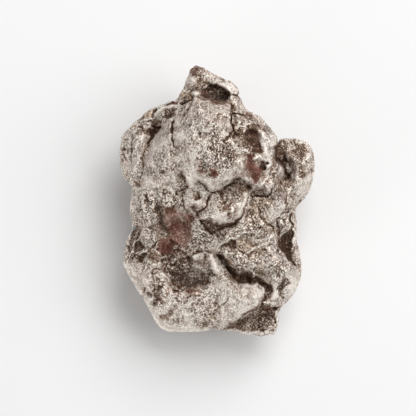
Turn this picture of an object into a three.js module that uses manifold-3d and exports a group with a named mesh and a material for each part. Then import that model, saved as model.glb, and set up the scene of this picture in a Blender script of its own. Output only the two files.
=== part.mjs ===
// An iron meteorite: one solid lump of nickel-iron, lying on its flattest side.
//
// The stone is one closed skin. Seen from above its edge follows OUTLINE, and the skin
// crosses that edge at the heights of RIM. The upper side is a low dome with LOBES grown
// over it, and STROKES that raise ridges and sink crevices along paths. The underside has
// broad thumbprints and three knobs, which are flat where the stone stands on them. DENTS
// press into the sides, and a cave is cut in under the arch of the horn.
//
// Millimetres. X runs across the stone, Y along it to the horn, Z up.
// The origin is under the middle of the stone, on the surface that it rests on.

import * as THREE from "three";
import { mergeVertices } from "three/addons/utils/BufferGeometryUtils.js";
import { ImprovedNoise } from "three/addons/math/ImprovedNoise.js";
import Module from "manifold-3d";

const wasm = await Module();
wasm.setup();

// Driving dimensions
const LENGTH = 60; // along Y, over the horn
const WIDTH = 43; // along X
const DOME_EDGE = 11.5; // the low dome's height near the stone's edge
const DOME_RISE = 6; // and how far its middle is above that
const STEEPNESS = 1.6; // millimetres that a lobe's flank falls for each one outwards
const BLEND = 1.2; // how softly one lobe runs into the next
const UNDERSIDE = 3.2; // height of the underside between its knobs
const RING_RADIUS = 0.75; // ring of plan points that the upper side's height is averaged over
const RING_POINTS = 6;

const SKIN_DETAIL = 20; // subdivisions of the icosahedron behind the skin
const CAVE_DETAIL = 3; // and behind the cutter of the cave
const EQUATOR = -0.3; // height on the sphere that becomes the stone's edge: more points on top
const OUTLINE_SAMPLES = 400; // points sampled on an outline's spline

// The stone's edge in plan, anticlockwise from the right
const OUTLINE = [
  [17.3, -2], [18.5, -0.3], [20.1, 2.5], [21, 6], [21.4, 10], [20.6, 12.2], [18.2, 13.5],
  [15.7, 14.1], [13.1, 13.4], [12.5, 15], [10.2, 17.5], [9.2, 18.9], [6.4, 20], [4.9, 22.6],
  [4.9, 24], [3.7, 26], [1.2, 27], [-2, 28.7], [-3.2, 29.7], [-4.8, 30.1], [-6.3, 29.3],
  [-6.9, 26], [-8.2, 24.4], [-8.7, 22.5], [-11, 21.9], [-15, 20.5], [-17.4, 18.5],
  [-19.6, 16.6], [-21.2, 14], [-21.5, 8], [-20.6, 5.2], [-18.8, 3.5], [-19.6, 0],
  [-19.3, -4], [-19, -6], [-20.4, -9], [-21.1, -13], [-18.6, -18], [-15.3, -24],
  [-12.8, -27.8], [-11.2, -28.6], [-4, -28.9], [0, -28.7], [7, -29.5], [11, -30],
  [13.2, -29.2], [13.8, -24], [15.2, -22], [17.2, -19.5], [18.5, -14], [17.5, -8], [17.2, -4],
];

// Height of that edge at some directions from the middle: degrees, millimetres
const RIM = [
  [0, 11.5], [30, 12.5], [60, 14.5], [90, 15.5], [101, 14], [120, 12], [150, 12],
  [180, 10], [215, 8.5], [240, 7.5], [270, 8], [295, 7], [320, 10], [345, 11.5],
];

// Lobes of the upper side: outline in plan, height of the lobe's edge under its middle, how
// far its top rises above that, and the lobe's slope along X and Y.
const LOBES = {
  longLobe: {
    outline: [
      [-5.2, 23.4], [-3.8, 22.6], [-2.4, 21.6], [1.5, 21.2], [2.9, 19.6], [3.1, 16],
      [2, 13.4], [3, 11], [5.6, 9.6], [6.6, 6.6], [4.6, 5], [2.4, 4], [-1.2, 2.1],
      [-3.8, 4], [-6.3, 2.8], [-7.7, 5.6], [-9.3, 9], [-9.7, 12.6], [-9.9, 16.6], [-8, 20.6],
    ],
    edge: 22, rise: 6.5, slope: [0.12, -0.08],
  },
  rightPlate: {
    outline: [
      [2.4, 13], [4.5, 14.2], [7.2, 13], [10.4, 11], [11, 7.4], [9.8, 4.2], [7, 4.2],
      [4.5, 5.2], [2.4, 8],
    ],
    edge: 21, rise: 4, slope: [-0.1, 0],
  },
  rightShoulder: {
    outline: [
      [7, 19.4], [9.6, 18.2], [11.8, 15.6], [12.9, 12.4], [12.6, 8.4], [11.8, 4.8],
      [10.6, 4], [9.6, 7], [10, 11], [10.2, 15], [8.6, 17.4],
    ],
    edge: 18.5, rise: 5, slope: [0, -0.15],
  },
  stepUnderPlate: {
    outline: [
      [4.4, 4.9], [7.2, 3.2], [7.6, 2.1], [9.4, 1.5], [11, 1.1], [12, 2.4], [12.4, 4.6],
      [10.6, 6], [7.4, 6],
    ],
    edge: 20, rise: 3, slope: [0, 0],
  },
  leftPlate: {
    outline: [
      [-9.6, 17.4], [-10.9, 17], [-12.4, 15.4], [-13.9, 13.6], [-15.4, 11.8], [-16.1, 9.4],
      [-16.7, 6.8], [-17, 4.4], [-16.6, 2.4], [-14, 2.5], [-12, 3.1], [-9.4, 3.4],
      [-7.6, 6], [-8.2, 12],
    ],
    edge: 18.8, rise: 3, slope: [0.85, 0.05],
  },
  farLeftLobe: {
    outline: [
      [-20, 16.2], [-18.2, 17], [-15.6, 17.1], [-14.7, 16.4], [-15.6, 14.4], [-15.9, 12.2],
      [-16.3, 10], [-16.9, 6], [-17.5, 4.5], [-18.8, 3.7], [-20.9, 5], [-21.8, 7.2],
      [-21.8, 10], [-21.4, 14],
    ],
    edge: 14.1, rise: 4, slope: [0.25, 0],
  },
  farRightLobe: {
    outline: [
      [13.3, 13.6], [15.6, 14.3], [17.8, 14], [20.4, 12.8], [21.8, 10.8], [21.6, 7.6],
      [21.2, 4.4], [19.9, 1.6], [18, -0.6], [16.2, -0.2], [15.4, 2], [15.8, 4.6],
      [15.9, 7], [15, 9], [13.8, 10.4], [13, 12],
    ],
    edge: 13.4, rise: 5, slope: [-0.08, 0],
  },
  smallRightLobe: {
    outline: [
      [12, 9.4], [13.3, 9], [14.4, 7.9], [14.7, 6.4], [14, 5], [13.8, 4], [12.6, 3.7],
      [11.4, 4.8], [11.4, 7.6],
    ],
    edge: 17.5, rise: 2.2, slope: [-0.35, 0],
  },
  tongue: {
    outline: [
      [1.2, 2.6], [3.6, 3.4], [6, 2.8], [7.2, 2.2], [6.7, 0.6], [6, -1.2], [5, -2.9],
      [3, -4.1], [1, -4.8], [-0.6, -4.5], [-1.8, -3.2], [-2.2, -1], [-1.7, 1.2], [-0.4, 2.2],
    ],
    edge: 20.6, rise: 3, slope: [-0.1, -0.42],
  },
  roundLobe: {
    outline: [
      [-6.6, 2.6], [-4.6, 3.5], [-3.5, 3], [-2.4, 1.7], [-2.5, 0], [-3.1, -1.3],
      [-4.2, -2.3], [-5.6, -2.6], [-6.8, -1.5], [-7.2, 0.6],
    ],
    edge: 20.2, rise: 3.2, slope: [0, 0.1],
  },
  roughLeft: {
    outline: [
      [-18.8, 3], [-14, 3.2], [-10, 4], [-7.6, 3.4], [-7.2, 0], [-8, -1.4], [-10.4, -1.6],
      [-12, -0.8], [-13.4, -0.6], [-13.9, -3], [-13.7, -5], [-15.5, -8.6], [-18.3, -6.6],
      [-19.8, -3.6], [-20, -0.5],
    ],
    edge: 17.2, rise: 3, slope: [0.5, 0.08],
  },
  slab: {
    outline: [
      [6, 1.4], [8.5, 1.2], [12, 1.6], [14.5, 3.6], [16.4, 3], [17.2, 0.2], [15.6, -1.8],
      [13.4, -3.6], [12.7, -5.6], [13.1, -8.6], [10.6, -9.4], [8, -9.2], [4, -8],
      [0.3, -9.9], [0.6, -7.6], [3.6, -5.4], [5.4, -2],
    ],
    edge: 17.4, rise: 2.4, slope: [-0.2, 0.12],
  },
  shellBoss: {
    outline: [
      [13, -5.3], [13, -3.8], [14, -2.7], [15.4, -2.6], [16, -4], [15.6, -6], [14.4, -7.4],
      [13.6, -6.8],
    ],
    edge: 15.6, rise: 2.2, slope: [-0.1, 0.1],
  },
  lowerPlate: {
    outline: [
      [-0.4, -10.4], [2, -9.8], [4, -8.4], [7, -8.8], [9.6, -11], [10.6, -14.6], [9, -16.3],
      [6.6, -16], [4.4, -15.4], [3.3, -13.8], [1.4, -12.2],
    ],
    edge: 17, rise: 2.4, slope: [-0.1, 0.05],
  },
  lowerShoulder: {
    outline: [
      [9, -9.4], [13, -8.2], [14.1, -11.4], [16.4, -13.9], [18.4, -15.4], [17.6, -18.6],
      [15.8, -21.6], [13.9, -23.2], [11.2, -22.6], [12.2, -20.2], [12.2, -18.4],
      [11, -16.6], [9.8, -14],
    ],
    edge: 14.4, rise: 3.2, slope: [-0.3, 0.1],
  },
  bottomTongue: {
    outline: [
      [3, -18], [5, -17.9], [8.2, -17.7], [9.9, -18.3], [10.6, -20], [9.6, -22.1],
      [7.4, -24.1], [5, -25.9], [2.4, -27.6], [0, -29.2], [-2.6, -27.6], [-2.6, -22],
      [-0.4, -18.6],
    ],
    edge: 15.6, rise: 4, slope: [0.1, 0.42],
  },
  paleSlope: {
    outline: [
      [-21.6, -13], [-18, -12.8], [-15, -11.6], [-12.4, -13.6], [-11.4, -16], [-10, -18.6],
      [-7, -19.4], [-3, -18.4], [-0.6, -18.6], [1, -22], [0, -29], [-5, -29.4],
      [-11.6, -29.2], [-14.9, -25.8], [-18.4, -19.6],
    ],
    edge: 13.2, rise: 4.4, slope: [0.2, 0.36],
  },
};

// Ridges (height above zero) and crevices (below it) along paths in plan
const STROKES = [
  // the horn: its arch, its limbs and the cavity between them
  { path: [[-5, 29], [-2.7, 27.5], [0.4, 26.1], [2.8, 24.5], [3.8, 23]], width: 1.4, height: 4.2 },
  { path: [[-4.9, 28.6], [-5.9, 26], [-6.7, 23.4]], width: 1.5, height: 3 },
  { path: [[4.2, 22.4], [5.3, 20.6], [6.6, 19.4]], width: 1.2, height: 2.6 },
  { path: [[-3.6, 23.4], [-1.6, 23.3], [0.6, 23], [2.4, 22.5]], width: 1, height: -3.8 },
  // the recess inside the upper right shoulder, and the knob beside it
  { path: [[8.2, 16.4], [7.3, 15], [8.2, 13.2], [8.9, 11.2]], width: 1.1, height: -3.2 },
  { path: [[3.9, 18], [4.9, 16.6], [5.1, 15]], width: 1.6, height: 3 },
  { path: [[3.1, 19.6], [3.1, 16.6], [2.4, 14.2]], width: 0.6, height: -2 },
  // the back ridges of the upper left, and the crevice in front of them
  { path: [[-17, 17.6], [-14.6, 19], [-11.6, 20.4], [-9, 21.2]], width: 1, height: 2.4 },
  { path: [[-9.4, 19.8], [-11, 18.6], [-13.4, 15.8], [-15, 13]], width: 0.7, height: -2 },
  { path: [[-15.6, 12], [-16.3, 9], [-17, 5], [-17.6, 3.2]], width: 0.5, height: -0.5 },
  // the seam down the left side of the long lobe
  {
    path: [[-9.7, 17.6], [-9.9, 14.7], [-9.3, 12.4], [-8.4, 7.2], [-6.6, 2.8]],
    width: 0.6, height: -0.9,
  },
  // the crevice between the right shoulder and the far right lobe
  { path: [[13, 12.4], [13, 10.8], [14.4, 9], [15, 7], [14.8, 5]], width: 0.9, height: -1.3 },
  // the step under the long lobe, and round the tongue and the round lobe
  {
    path: [[-3.8, 3.4], [-1.2, 1.9], [1, 2.4], [4.2, 4.2], [7.4, 2.6]],
    width: 0.6, height: -1.2,
  },
  { path: [[-2.3, 1.6], [-2.3, -0.4], [-3.4, -2.4]], width: 0.5, height: -1.2 },
  { path: [[-3.4, -4.4], [-0.4, -5.4], [2, -5.4], [4.6, -4.2]], width: 1.1, height: -2.6 },
  // the ridge and the crack of the slab
  { path: [[0.5, -9.7], [2.2, -8.7], [4, -7.8], [8, -6]], width: 0.7, height: 1.6 },
  { path: [[8.6, -0.7], [9.2, -2], [10, -4], [12, -6.2]], width: 0.5, height: -1 },
  // the crevice inside the right edge, and the rim outside it
  { path: [[16, -2.6], [15.6, -6.4], [14.4, -9], [14.8, -12], [16.8, -14.6]], width: 0.9, height: -2.2 },
  { path: [[17.2, -1.6], [17, -6], [17.2, -11], [18, -14.6]], width: 0.7, height: 1.6 },
  // the long crevice above the bottom tongue
  {
    path: [
      [-0.9, -11.3], [1.8, -13.7], [4, -16.2], [5.4, -16.9], [8.8, -17.1], [10.8, -18.4],
      [11.2, -19.8], [10.6, -21.4],
    ],
    width: 0.8, height: -3,
  },
  // the dark hollow of the lower left, and the bar between it and that crevice
  { path: [[-9.8, -15], [-8.4, -16.4], [-5.4, -16.4], [-3.2, -15.4]], width: 2.2, height: -2.2 },
  { path: [[-1.8, -12], [-0.6, -14], [0.8, -16]], width: 0.7, height: 1.6 },
  // the smooth dish in the middle of the left side
  { path: [[-10, -4], [-8.4, -6.6], [-9, -8.8]], width: 3.2, height: -1.6 },
  // the notch of the left edge, and the pit under it
  { path: [[-18.8, -9], [-17, -8.6], [-17, -10.4]], width: 1, height: -3 },
  { path: [[-15.8, -11.3], [-17, -13.3]], width: 0.8, height: -1.4 },
  // the lower right facet, its upper ledge and the pit over it
  { path: [[4.4, -27.4], [8, -26.4], [12, -25.4]], width: 2.2, height: -2.2 },
  { path: [[10, -23], [13.4, -23.1]], width: 0.6, height: -1.6 },
  { path: [[14.6, -17.4], [13.8, -19.4]], width: 0.9, height: -1.8 },
];

// Round pits (height below zero) and knobs of the upper side
const SPOTS = [
  { at: [-4.5, 1], width: 0.9, height: -2 },
  { at: [-4.9, -1.4], width: 0.8, height: -1.5 },
  { at: [1.5, 1], width: 0.8, height: -1 },
  { at: [18, 11.2], width: 1.3, height: -1.2 },
  { at: [10, 8], width: 1, height: -1.8 },
  { at: [-7.4, 23], width: 1.2, height: 1.6 },
  { at: [-4.2, 24.3], width: 0.9, height: 1.6 },
  { at: [-15.2, 19], width: 1.2, height: 1.4 },
];

// The underside: thumbprints (height above zero) and the three knobs that it stands on
const UNDERSIDE_SPOTS = [
  { at: [-9.5, -15], width: 5.4, height: -6 },
  { at: [9.4, -13], width: 5, height: -5.6 },
  { at: [-1.6, 13], width: 5.4, height: -4.8 },
  { at: [0.4, -4.4], width: 4.4, height: 3 },
  { at: [0.6, -21.6], width: 4, height: 2.8 },
  { at: [-13, 4], width: 4, height: 2.8 },
  { at: [11, 4], width: 4.2, height: 3 },
  { at: [-9.6, -5], width: 3, height: 1.6 },
  { at: [8.6, 13.6], width: 3.2, height: 2 },
  { at: [-12.6, 13.4], width: 3.4, height: 1.8 },
];

// Hollows of the sides, pressed in towards the stone's axis
const DENTS = [
  { at: [19, -8, 7], radius: 6, depth: 2 },
  { at: [14, -26, 5], radius: 5, depth: 1.4 },
  { at: [-1, -30, 5], radius: 7, depth: 2 },
  { at: [-18.5, -22, 5], radius: 6, depth: 1.6 },
  { at: [-21, -3, 6], radius: 6.5, depth: 2.4 },
  { at: [-22, 10, 6], radius: 6, depth: 1.6 },
  { at: [-14, 20, 6], radius: 6, depth: 2.2 },
  { at: [12, 18, 7], radius: 6.5, depth: 2.6 },
  { at: [20.5, 3, 5], radius: 5, depth: 1.4 },
  { at: [-2, 26, 7], radius: 8, depth: 5 },
];

// The cave under the horn's arch: an ellipsoid leaning up and back under the arch
const CAVE = { at: [-0.4, 23.7, 17], size: [3.3, 1.4, 2], turned: [0.5, 0, -0.25] };

// Roughening: how far each size of wave moves the skin, and its length
const WAVES = [
  { reach: 1.1, length: 9 },
  { reach: 0.75, length: 4.2 },
];

const noise = new ImprovedNoise();

// Smooth noise of a point, between about -1 and 1, different for each seed.
function wave(point, length, seed) {
  return noise.noise(point.x / length + seed, point.y / length, point.z / length);
}

// A softened maximum of two heights.
function higher(a, b) {
  const nearness = Math.max(BLEND - Math.abs(a - b), 0) / BLEND;
  return Math.max(a, b) + (nearness * nearness * BLEND) / 4;
}

// A bell that is 1 at its middle and falls away over its width.
function bell(distance, width) {
  return Math.exp(-((distance / width) ** 2));
}

// An outline's middle, and its reach from there in every direction, sorted by angle.
function polarOutline(corners) {
  const points = corners.map(([x, y]) => new THREE.Vector3(x, y, 0));
  const spline = new THREE.CatmullRomCurve3(points, true).getPoints(OUTLINE_SAMPLES);
  const middle = new THREE.Box3().setFromPoints(spline).getCenter(new THREE.Vector3());
  const rays = spline.map((point) => ({
    angle: Math.atan2(point.y - middle.y, point.x - middle.x),
    reach: point.distanceTo(middle),
  }));
  rays.sort((a, b) => a.angle - b.angle);
  const first = { ...rays[0], angle: rays[0].angle + 2 * Math.PI };
  const last = { ...rays.at(-1), angle: rays.at(-1).angle - 2 * Math.PI };
  return { middle, rays: [last, ...rays, first] };
}

// How far an outline is from its middle at an angle.
function reachAt({ rays }, angle) {
  const next = rays.findIndex((ray) => ray.angle > angle);
  const [a, b] = [rays[next - 1], rays[next]];
  return THREE.MathUtils.mapLinear(angle, a.angle, b.angle, a.reach, b.reach);
}

// The distance from a plan point to a path, and how far along the path the nearest point is.
function nearest(path, x, y) {
  const point = new THREE.Vector3(x, y, 0);
  const line = new THREE.Line3();
  const foot = new THREE.Vector3();
  let best = { distance: Infinity, along: 0 };
  for (let i = 0; i + 1 < path.length; i++) {
    line.set(new THREE.Vector3(...path[i], 0), new THREE.Vector3(...path[i + 1], 0));
    const t = line.closestPointToPointParameter(point, true);
    const distance = line.at(t, foot).distanceTo(point);
    if (distance < best.distance) best = { distance, along: (i + t) / (path.length - 1) };
  }
  return best;
}

// What a ridge or crevice adds at a plan point. It fades towards the ends of its path.
function strokeHeight({ path, width, height }, x, y) {
  const { distance, along } = nearest(path, x, y);
  const fade = Math.min(1, 0.35 + 4 * Math.min(along, 1 - along));
  return height * fade * bell(distance, width);
}

// What a pit, knob or thumbprint adds at a plan point.
function spotHeight({ at, width, height }, x, y) {
  return height * bell(Math.hypot(x - at[0], y - at[1]), width);
}

// Height of a lobe over a plan point: a sloping dome inside its outline, a flank outside.
function lobeHeight(lobe, x, y) {
  const [dx, dy] = [x - lobe.middle.x, y - lobe.middle.y];
  const distance = Math.hypot(dx, dy);
  const reach = reachAt(lobe, Math.atan2(dy, dx));
  const dome = lobe.rise * Math.max(0, 1 - (distance / reach) ** 2.5) ** 0.75;
  const flank = STEEPNESS * Math.max(0, distance - reach);
  return lobe.edge + lobe.slope[0] * dx + lobe.slope[1] * dy + dome - flank;
}

// Height of the stone's edge in a direction.
function rimHeight(angle) {
  const degrees = THREE.MathUtils.euclideanModulo(THREE.MathUtils.radToDeg(angle), 360);
  const round = [...RIM, [360, RIM[0][1]]];
  const next = round.findIndex(([at]) => at > degrees);
  const [[a, low], [b, high]] = [round[next - 1], round[next]];
  return THREE.MathUtils.lerp(low, high, THREE.MathUtils.smoothstep(degrees, a, b));
}

const edge = polarOutline(OUTLINE);
const lobes = Object.values(LOBES).map((lobe) => ({ ...lobe, ...polarOutline(lobe.outline) }));

// The upper side over a plan point, before it is softened.
function sharpHeight(x, y, dome) {
  let height = dome;
  for (const lobe of lobes) height = higher(height, lobeHeight(lobe, x, y));
  for (const stroke of STROKES) height += strokeHeight(stroke, x, y);
  for (const spot of SPOTS) height += spotHeight(spot, x, y);
  return height;
}

// The upper side over a plan point that is a fraction of the way out to the stone's edge. It
// is the mean of a small ring, so that no flank is sharper than the skin's own triangles.
function upperHeight(x, y, out) {
  const dome = DOME_EDGE + DOME_RISE * (1 - out * out);
  let sum = sharpHeight(x, y, dome);
  for (let i = 0; i < RING_POINTS; i++) {
    const turn = (2 * Math.PI * i) / RING_POINTS;
    sum += sharpHeight(x + RING_RADIUS * Math.cos(turn), y + RING_RADIUS * Math.sin(turn), dome);
  }
  return sum / (RING_POINTS + 1);
}

// The underside over a plan point.
function lowerHeight(x, y) {
  let height = UNDERSIDE;
  for (const spot of UNDERSIDE_SPOTS) height += spotHeight(spot, x, y);
  return height;
}

// A point of the skin, from a point of a unit sphere.
function skinPoint(direction) {
  const angle = Math.atan2(direction.y, direction.x);
  const top = direction.z > EQUATOR;
  const lift = top ? (direction.z - EQUATOR) / (1 - EQUATOR) : (EQUATOR - direction.z) / (1 + EQUATOR);
  const out = Math.sqrt(1 - lift ** 1.4);
  const reach = out * reachAt(edge, angle);
  const x = edge.middle.x + reach * Math.cos(angle);
  const y = edge.middle.y + reach * Math.sin(angle);
  const rounding = Math.sqrt(1 - out ** (top ? 11 : 3.2));
  const target = top ? upperHeight(x, y, out) : lowerHeight(x, y);
  const z = THREE.MathUtils.lerp(rimHeight(angle), target, rounding);
  return roughened(new THREE.Vector3(x, y, z), 1 - out ** 8);
}

// A point of the skin dented, and moved by the noise. Sideways it moves only as freely as
// it is given, so that the stone's edge stays on its outline.
function roughened(point, freedom) {
  const away = new THREE.Vector3(point.x, point.y, 0).normalize();
  for (const { at, radius, depth } of DENTS) {
    const nearness = 1 - point.distanceTo(new THREE.Vector3(...at)) / radius;
    point.addScaledVector(away, -depth * THREE.MathUtils.smootherstep(nearness, 0, 1));
  }
  const moved = point.clone();
  for (const { reach, length } of WAVES) {
    moved.x += reach * freedom * wave(point, length, 11.3);
    moved.y += reach * freedom * wave(point, length, 47.7);
    moved.z += reach * wave(point, length, 83.1);
  }
  return moved;
}

// An icosahedral sphere with merged vertices, each moved by a function.
function shapedSphere(detail, shape) {
  const sphere = new THREE.IcosahedronGeometry(1, detail);
  sphere.deleteAttribute("normal");
  sphere.deleteAttribute("uv");
  const merged = mergeVertices(sphere, 1e-5);
  const points = merged.getAttribute("position");
  for (let i = 0; i < points.count; i++) {
    const point = shape(new THREE.Vector3().fromBufferAttribute(points, i));
    points.setXYZ(i, point.x, point.y, point.z);
  }
  return merged;
}

// The skin, scaled to the stone's exact size in plan, with its knobs' feet flat on Z = 0.
function skin() {
  const geometry = shapedSphere(SKIN_DETAIL, skinPoint);
  geometry.computeBoundingBox();
  const middle = geometry.boundingBox.getCenter(new THREE.Vector3());
  const size = geometry.boundingBox.getSize(new THREE.Vector3());
  geometry.translate(-middle.x, -middle.y, 0);
  geometry.scale(WIDTH / size.x, LENGTH / size.y, 1);
  const points = geometry.getAttribute("position");
  for (let i = 0; i < points.count; i++) points.setZ(i, Math.max(0, points.getZ(i)));
  return geometry;
}

// The cutter of the cave.
function caveCutter() {
  const size = new THREE.Vector3(...CAVE.size);
  const turned = new THREE.Euler(...CAVE.turned);
  const at = new THREE.Vector3(...CAVE.at);
  return shapedSphere(CAVE_DETAIL, (point) => point.multiply(size).applyEuler(turned).add(at));
}

// A closed geometry as a solid that can be cut.
function solid(geometry) {
  const vertProperties = Float32Array.from(geometry.attributes.position.array);
  const triVerts = Uint32Array.from(geometry.index.array);
  return new wasm.Manifold(new wasm.Mesh({ numProp: 3, vertProperties, triVerts }));
}

const { vertProperties, triVerts } = solid(skin()).subtract(solid(caveCutter())).getMesh();
const geometry = new THREE.BufferGeometry()
  .setAttribute("position", new THREE.BufferAttribute(vertProperties, 3))
  .setIndex(new THREE.BufferAttribute(triVerts, 1));
geometry.computeVertexNormals();

const iron = new THREE.MeshStandardMaterial({ color: 0x9a8f85, roughness: 0.6, metalness: 0.6 });
const meteorite = new THREE.Mesh(geometry, iron);
meteorite.name = "meteorite";

const part = new THREE.Group();
part.add(meteorite);

export default part;
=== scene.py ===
"""An iron meteorite on a pale studio floor, seen from straight above.

The CAD solid becomes a distance field on a fine grid. The field is softened, sculpted with
the hollows, creases, ridges, pits and knobs drawn in plan below, and roughened with noise
all round. Its surface becomes the stone's mesh, and the same drawings say where the dirt,
rust and worn metal go, and where shade and light are painted on.

The sculpting works in millimetres, in the CAD's own frame. Blender's objects are in metres.
"""

import math

import bpy
import numpy as np
import openvdb
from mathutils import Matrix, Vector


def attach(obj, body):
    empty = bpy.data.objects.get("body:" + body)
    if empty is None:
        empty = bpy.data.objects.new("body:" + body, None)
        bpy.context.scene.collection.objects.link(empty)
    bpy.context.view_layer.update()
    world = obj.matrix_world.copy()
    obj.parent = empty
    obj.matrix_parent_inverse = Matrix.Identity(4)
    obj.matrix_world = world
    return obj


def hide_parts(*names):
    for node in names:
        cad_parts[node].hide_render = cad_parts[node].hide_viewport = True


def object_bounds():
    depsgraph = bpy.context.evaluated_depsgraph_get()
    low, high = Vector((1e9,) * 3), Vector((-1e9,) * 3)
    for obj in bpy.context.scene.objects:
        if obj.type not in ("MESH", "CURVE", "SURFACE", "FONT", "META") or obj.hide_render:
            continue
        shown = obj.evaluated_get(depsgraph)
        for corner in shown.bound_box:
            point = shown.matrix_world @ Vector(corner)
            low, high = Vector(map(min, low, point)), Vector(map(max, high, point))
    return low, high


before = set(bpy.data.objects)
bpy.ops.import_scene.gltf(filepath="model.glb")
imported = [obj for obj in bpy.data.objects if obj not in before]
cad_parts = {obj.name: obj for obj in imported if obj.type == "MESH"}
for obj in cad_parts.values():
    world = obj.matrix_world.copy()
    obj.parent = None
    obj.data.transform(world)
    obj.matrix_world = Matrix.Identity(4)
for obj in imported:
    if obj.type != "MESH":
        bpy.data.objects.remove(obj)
cad_low, cad_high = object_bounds()

MM = 0.001
NODE = "meteorite"

# The grid that the stone is sculpted on
VOXEL = 0.2  # mm between its points
MARGIN = 1.4  # mm of empty grid round the stone
GRID_STEP = 8  # its counts of points are multiples of this, which Fourier transforms are quick on
BAND = 4.0  # mm that distances are known for, either side of the skin
SOFTENING = 0.4  # mm that the CAD facets are softened over
TRIANGLES = 195_000  # most triangles that the finished mesh may have

# How far down the drawings reach
UPPER_DEPTH = 7.0  # mm below the top of the stone, where they have faded out
UPPER_FADE = 3.0  # mm over which they fade
UPPER_BLUR = 0.5  # mm that the height of the top is softened over for this
TURNED_UNDER = -0.6  # they don't reach skin that faces down more than this: 1 is up, -1 down
TURNED_OUT = -0.1  # and they are in full where it faces down less than this

# How far sculpting may move the skin
DEEPEST = 1.5  # mm at most
THINNING = 0.3  # share of the thickness there, where that is less
THICKNESS_BLUR = 0.4  # mm that the thickness is softened over for this
FEET_BARE = 0.3  # mm above the floor up to which it doesn't move it at all
FEET_SCULPTED = 1.5  # mm above the floor from which it may move it in full

# Noise that shapes the skin: sizes of its lumps, and depths, in mm.
# BELOW is short for the sides and the underside, which the drawings don't reach.
SCOOP_SIZE = 4.6
SCOOP_DEPTH = 0.20
SCOOP_DEPTH_BELOW = 0.70
BROAD_SCOOP_SIZE = 9.0
BROAD_SCOOP_DEPTH_BELOW = 1.00
SMALL_SCOOP_SIZE = 1.9
SMALL_SCOOP_DEPTH = 0.14
GRAIN_SIZE = 0.9
GRAIN_DEPTH = 0.05
DIMPLE_SIZE = 1.1
DIMPLE_DEPTH = 0.1
DIMPLE_RARITY = 1.4  # deviations above its mean from which the noise makes a dimple
SWELLING = 0.2  # what the skin swells by first, for the scoops to be cut into
SWELLING_BELOW = 0.8  # what it swells by on top of that
TINT_SMOOTHING = 0.5  # share of the roughness that grey and rusty metal lacks
PALE_SMOOTHING = 0.5  # how far the pale zones, pale metal in part and painted light in part, are as smooth as they are

# Noise that pushes drawn lines about, so that none is straight: how far and in what size, mm
WANDERS = [(0.16, 1.8), (0.1, 0.8)]
WANDER_ROOM = 0.5  # mm that is left round a drawn mark for it

# Strokes and spots are bells across their width or radius
STROKE_REACH = 3.0  # widths from a path that its stroke is drawn out to
SPOT_REACH = 2.5  # radii from a middle that its spot is drawn out to
STROKE_END = 0.3  # share of its strength that a stroke has at its ends
STROKE_TAPER = 5.0  # what that share gains, up to 1, for each whole length from an end

# What the material is told of the shape, and of the sides that no drawing reaches
FINE_HOLLOWS = 0.45  # mm round a point that decide how shut in it is
BROAD_HOLLOWS = 1.5  # mm, the same for broader forms
BLOTCH_SIZE = 7.0  # mm, of the blotches of colour there
BLOTCH_EDGE = (0.4, 1.4)  # noise values that a blotch fades in between
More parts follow.
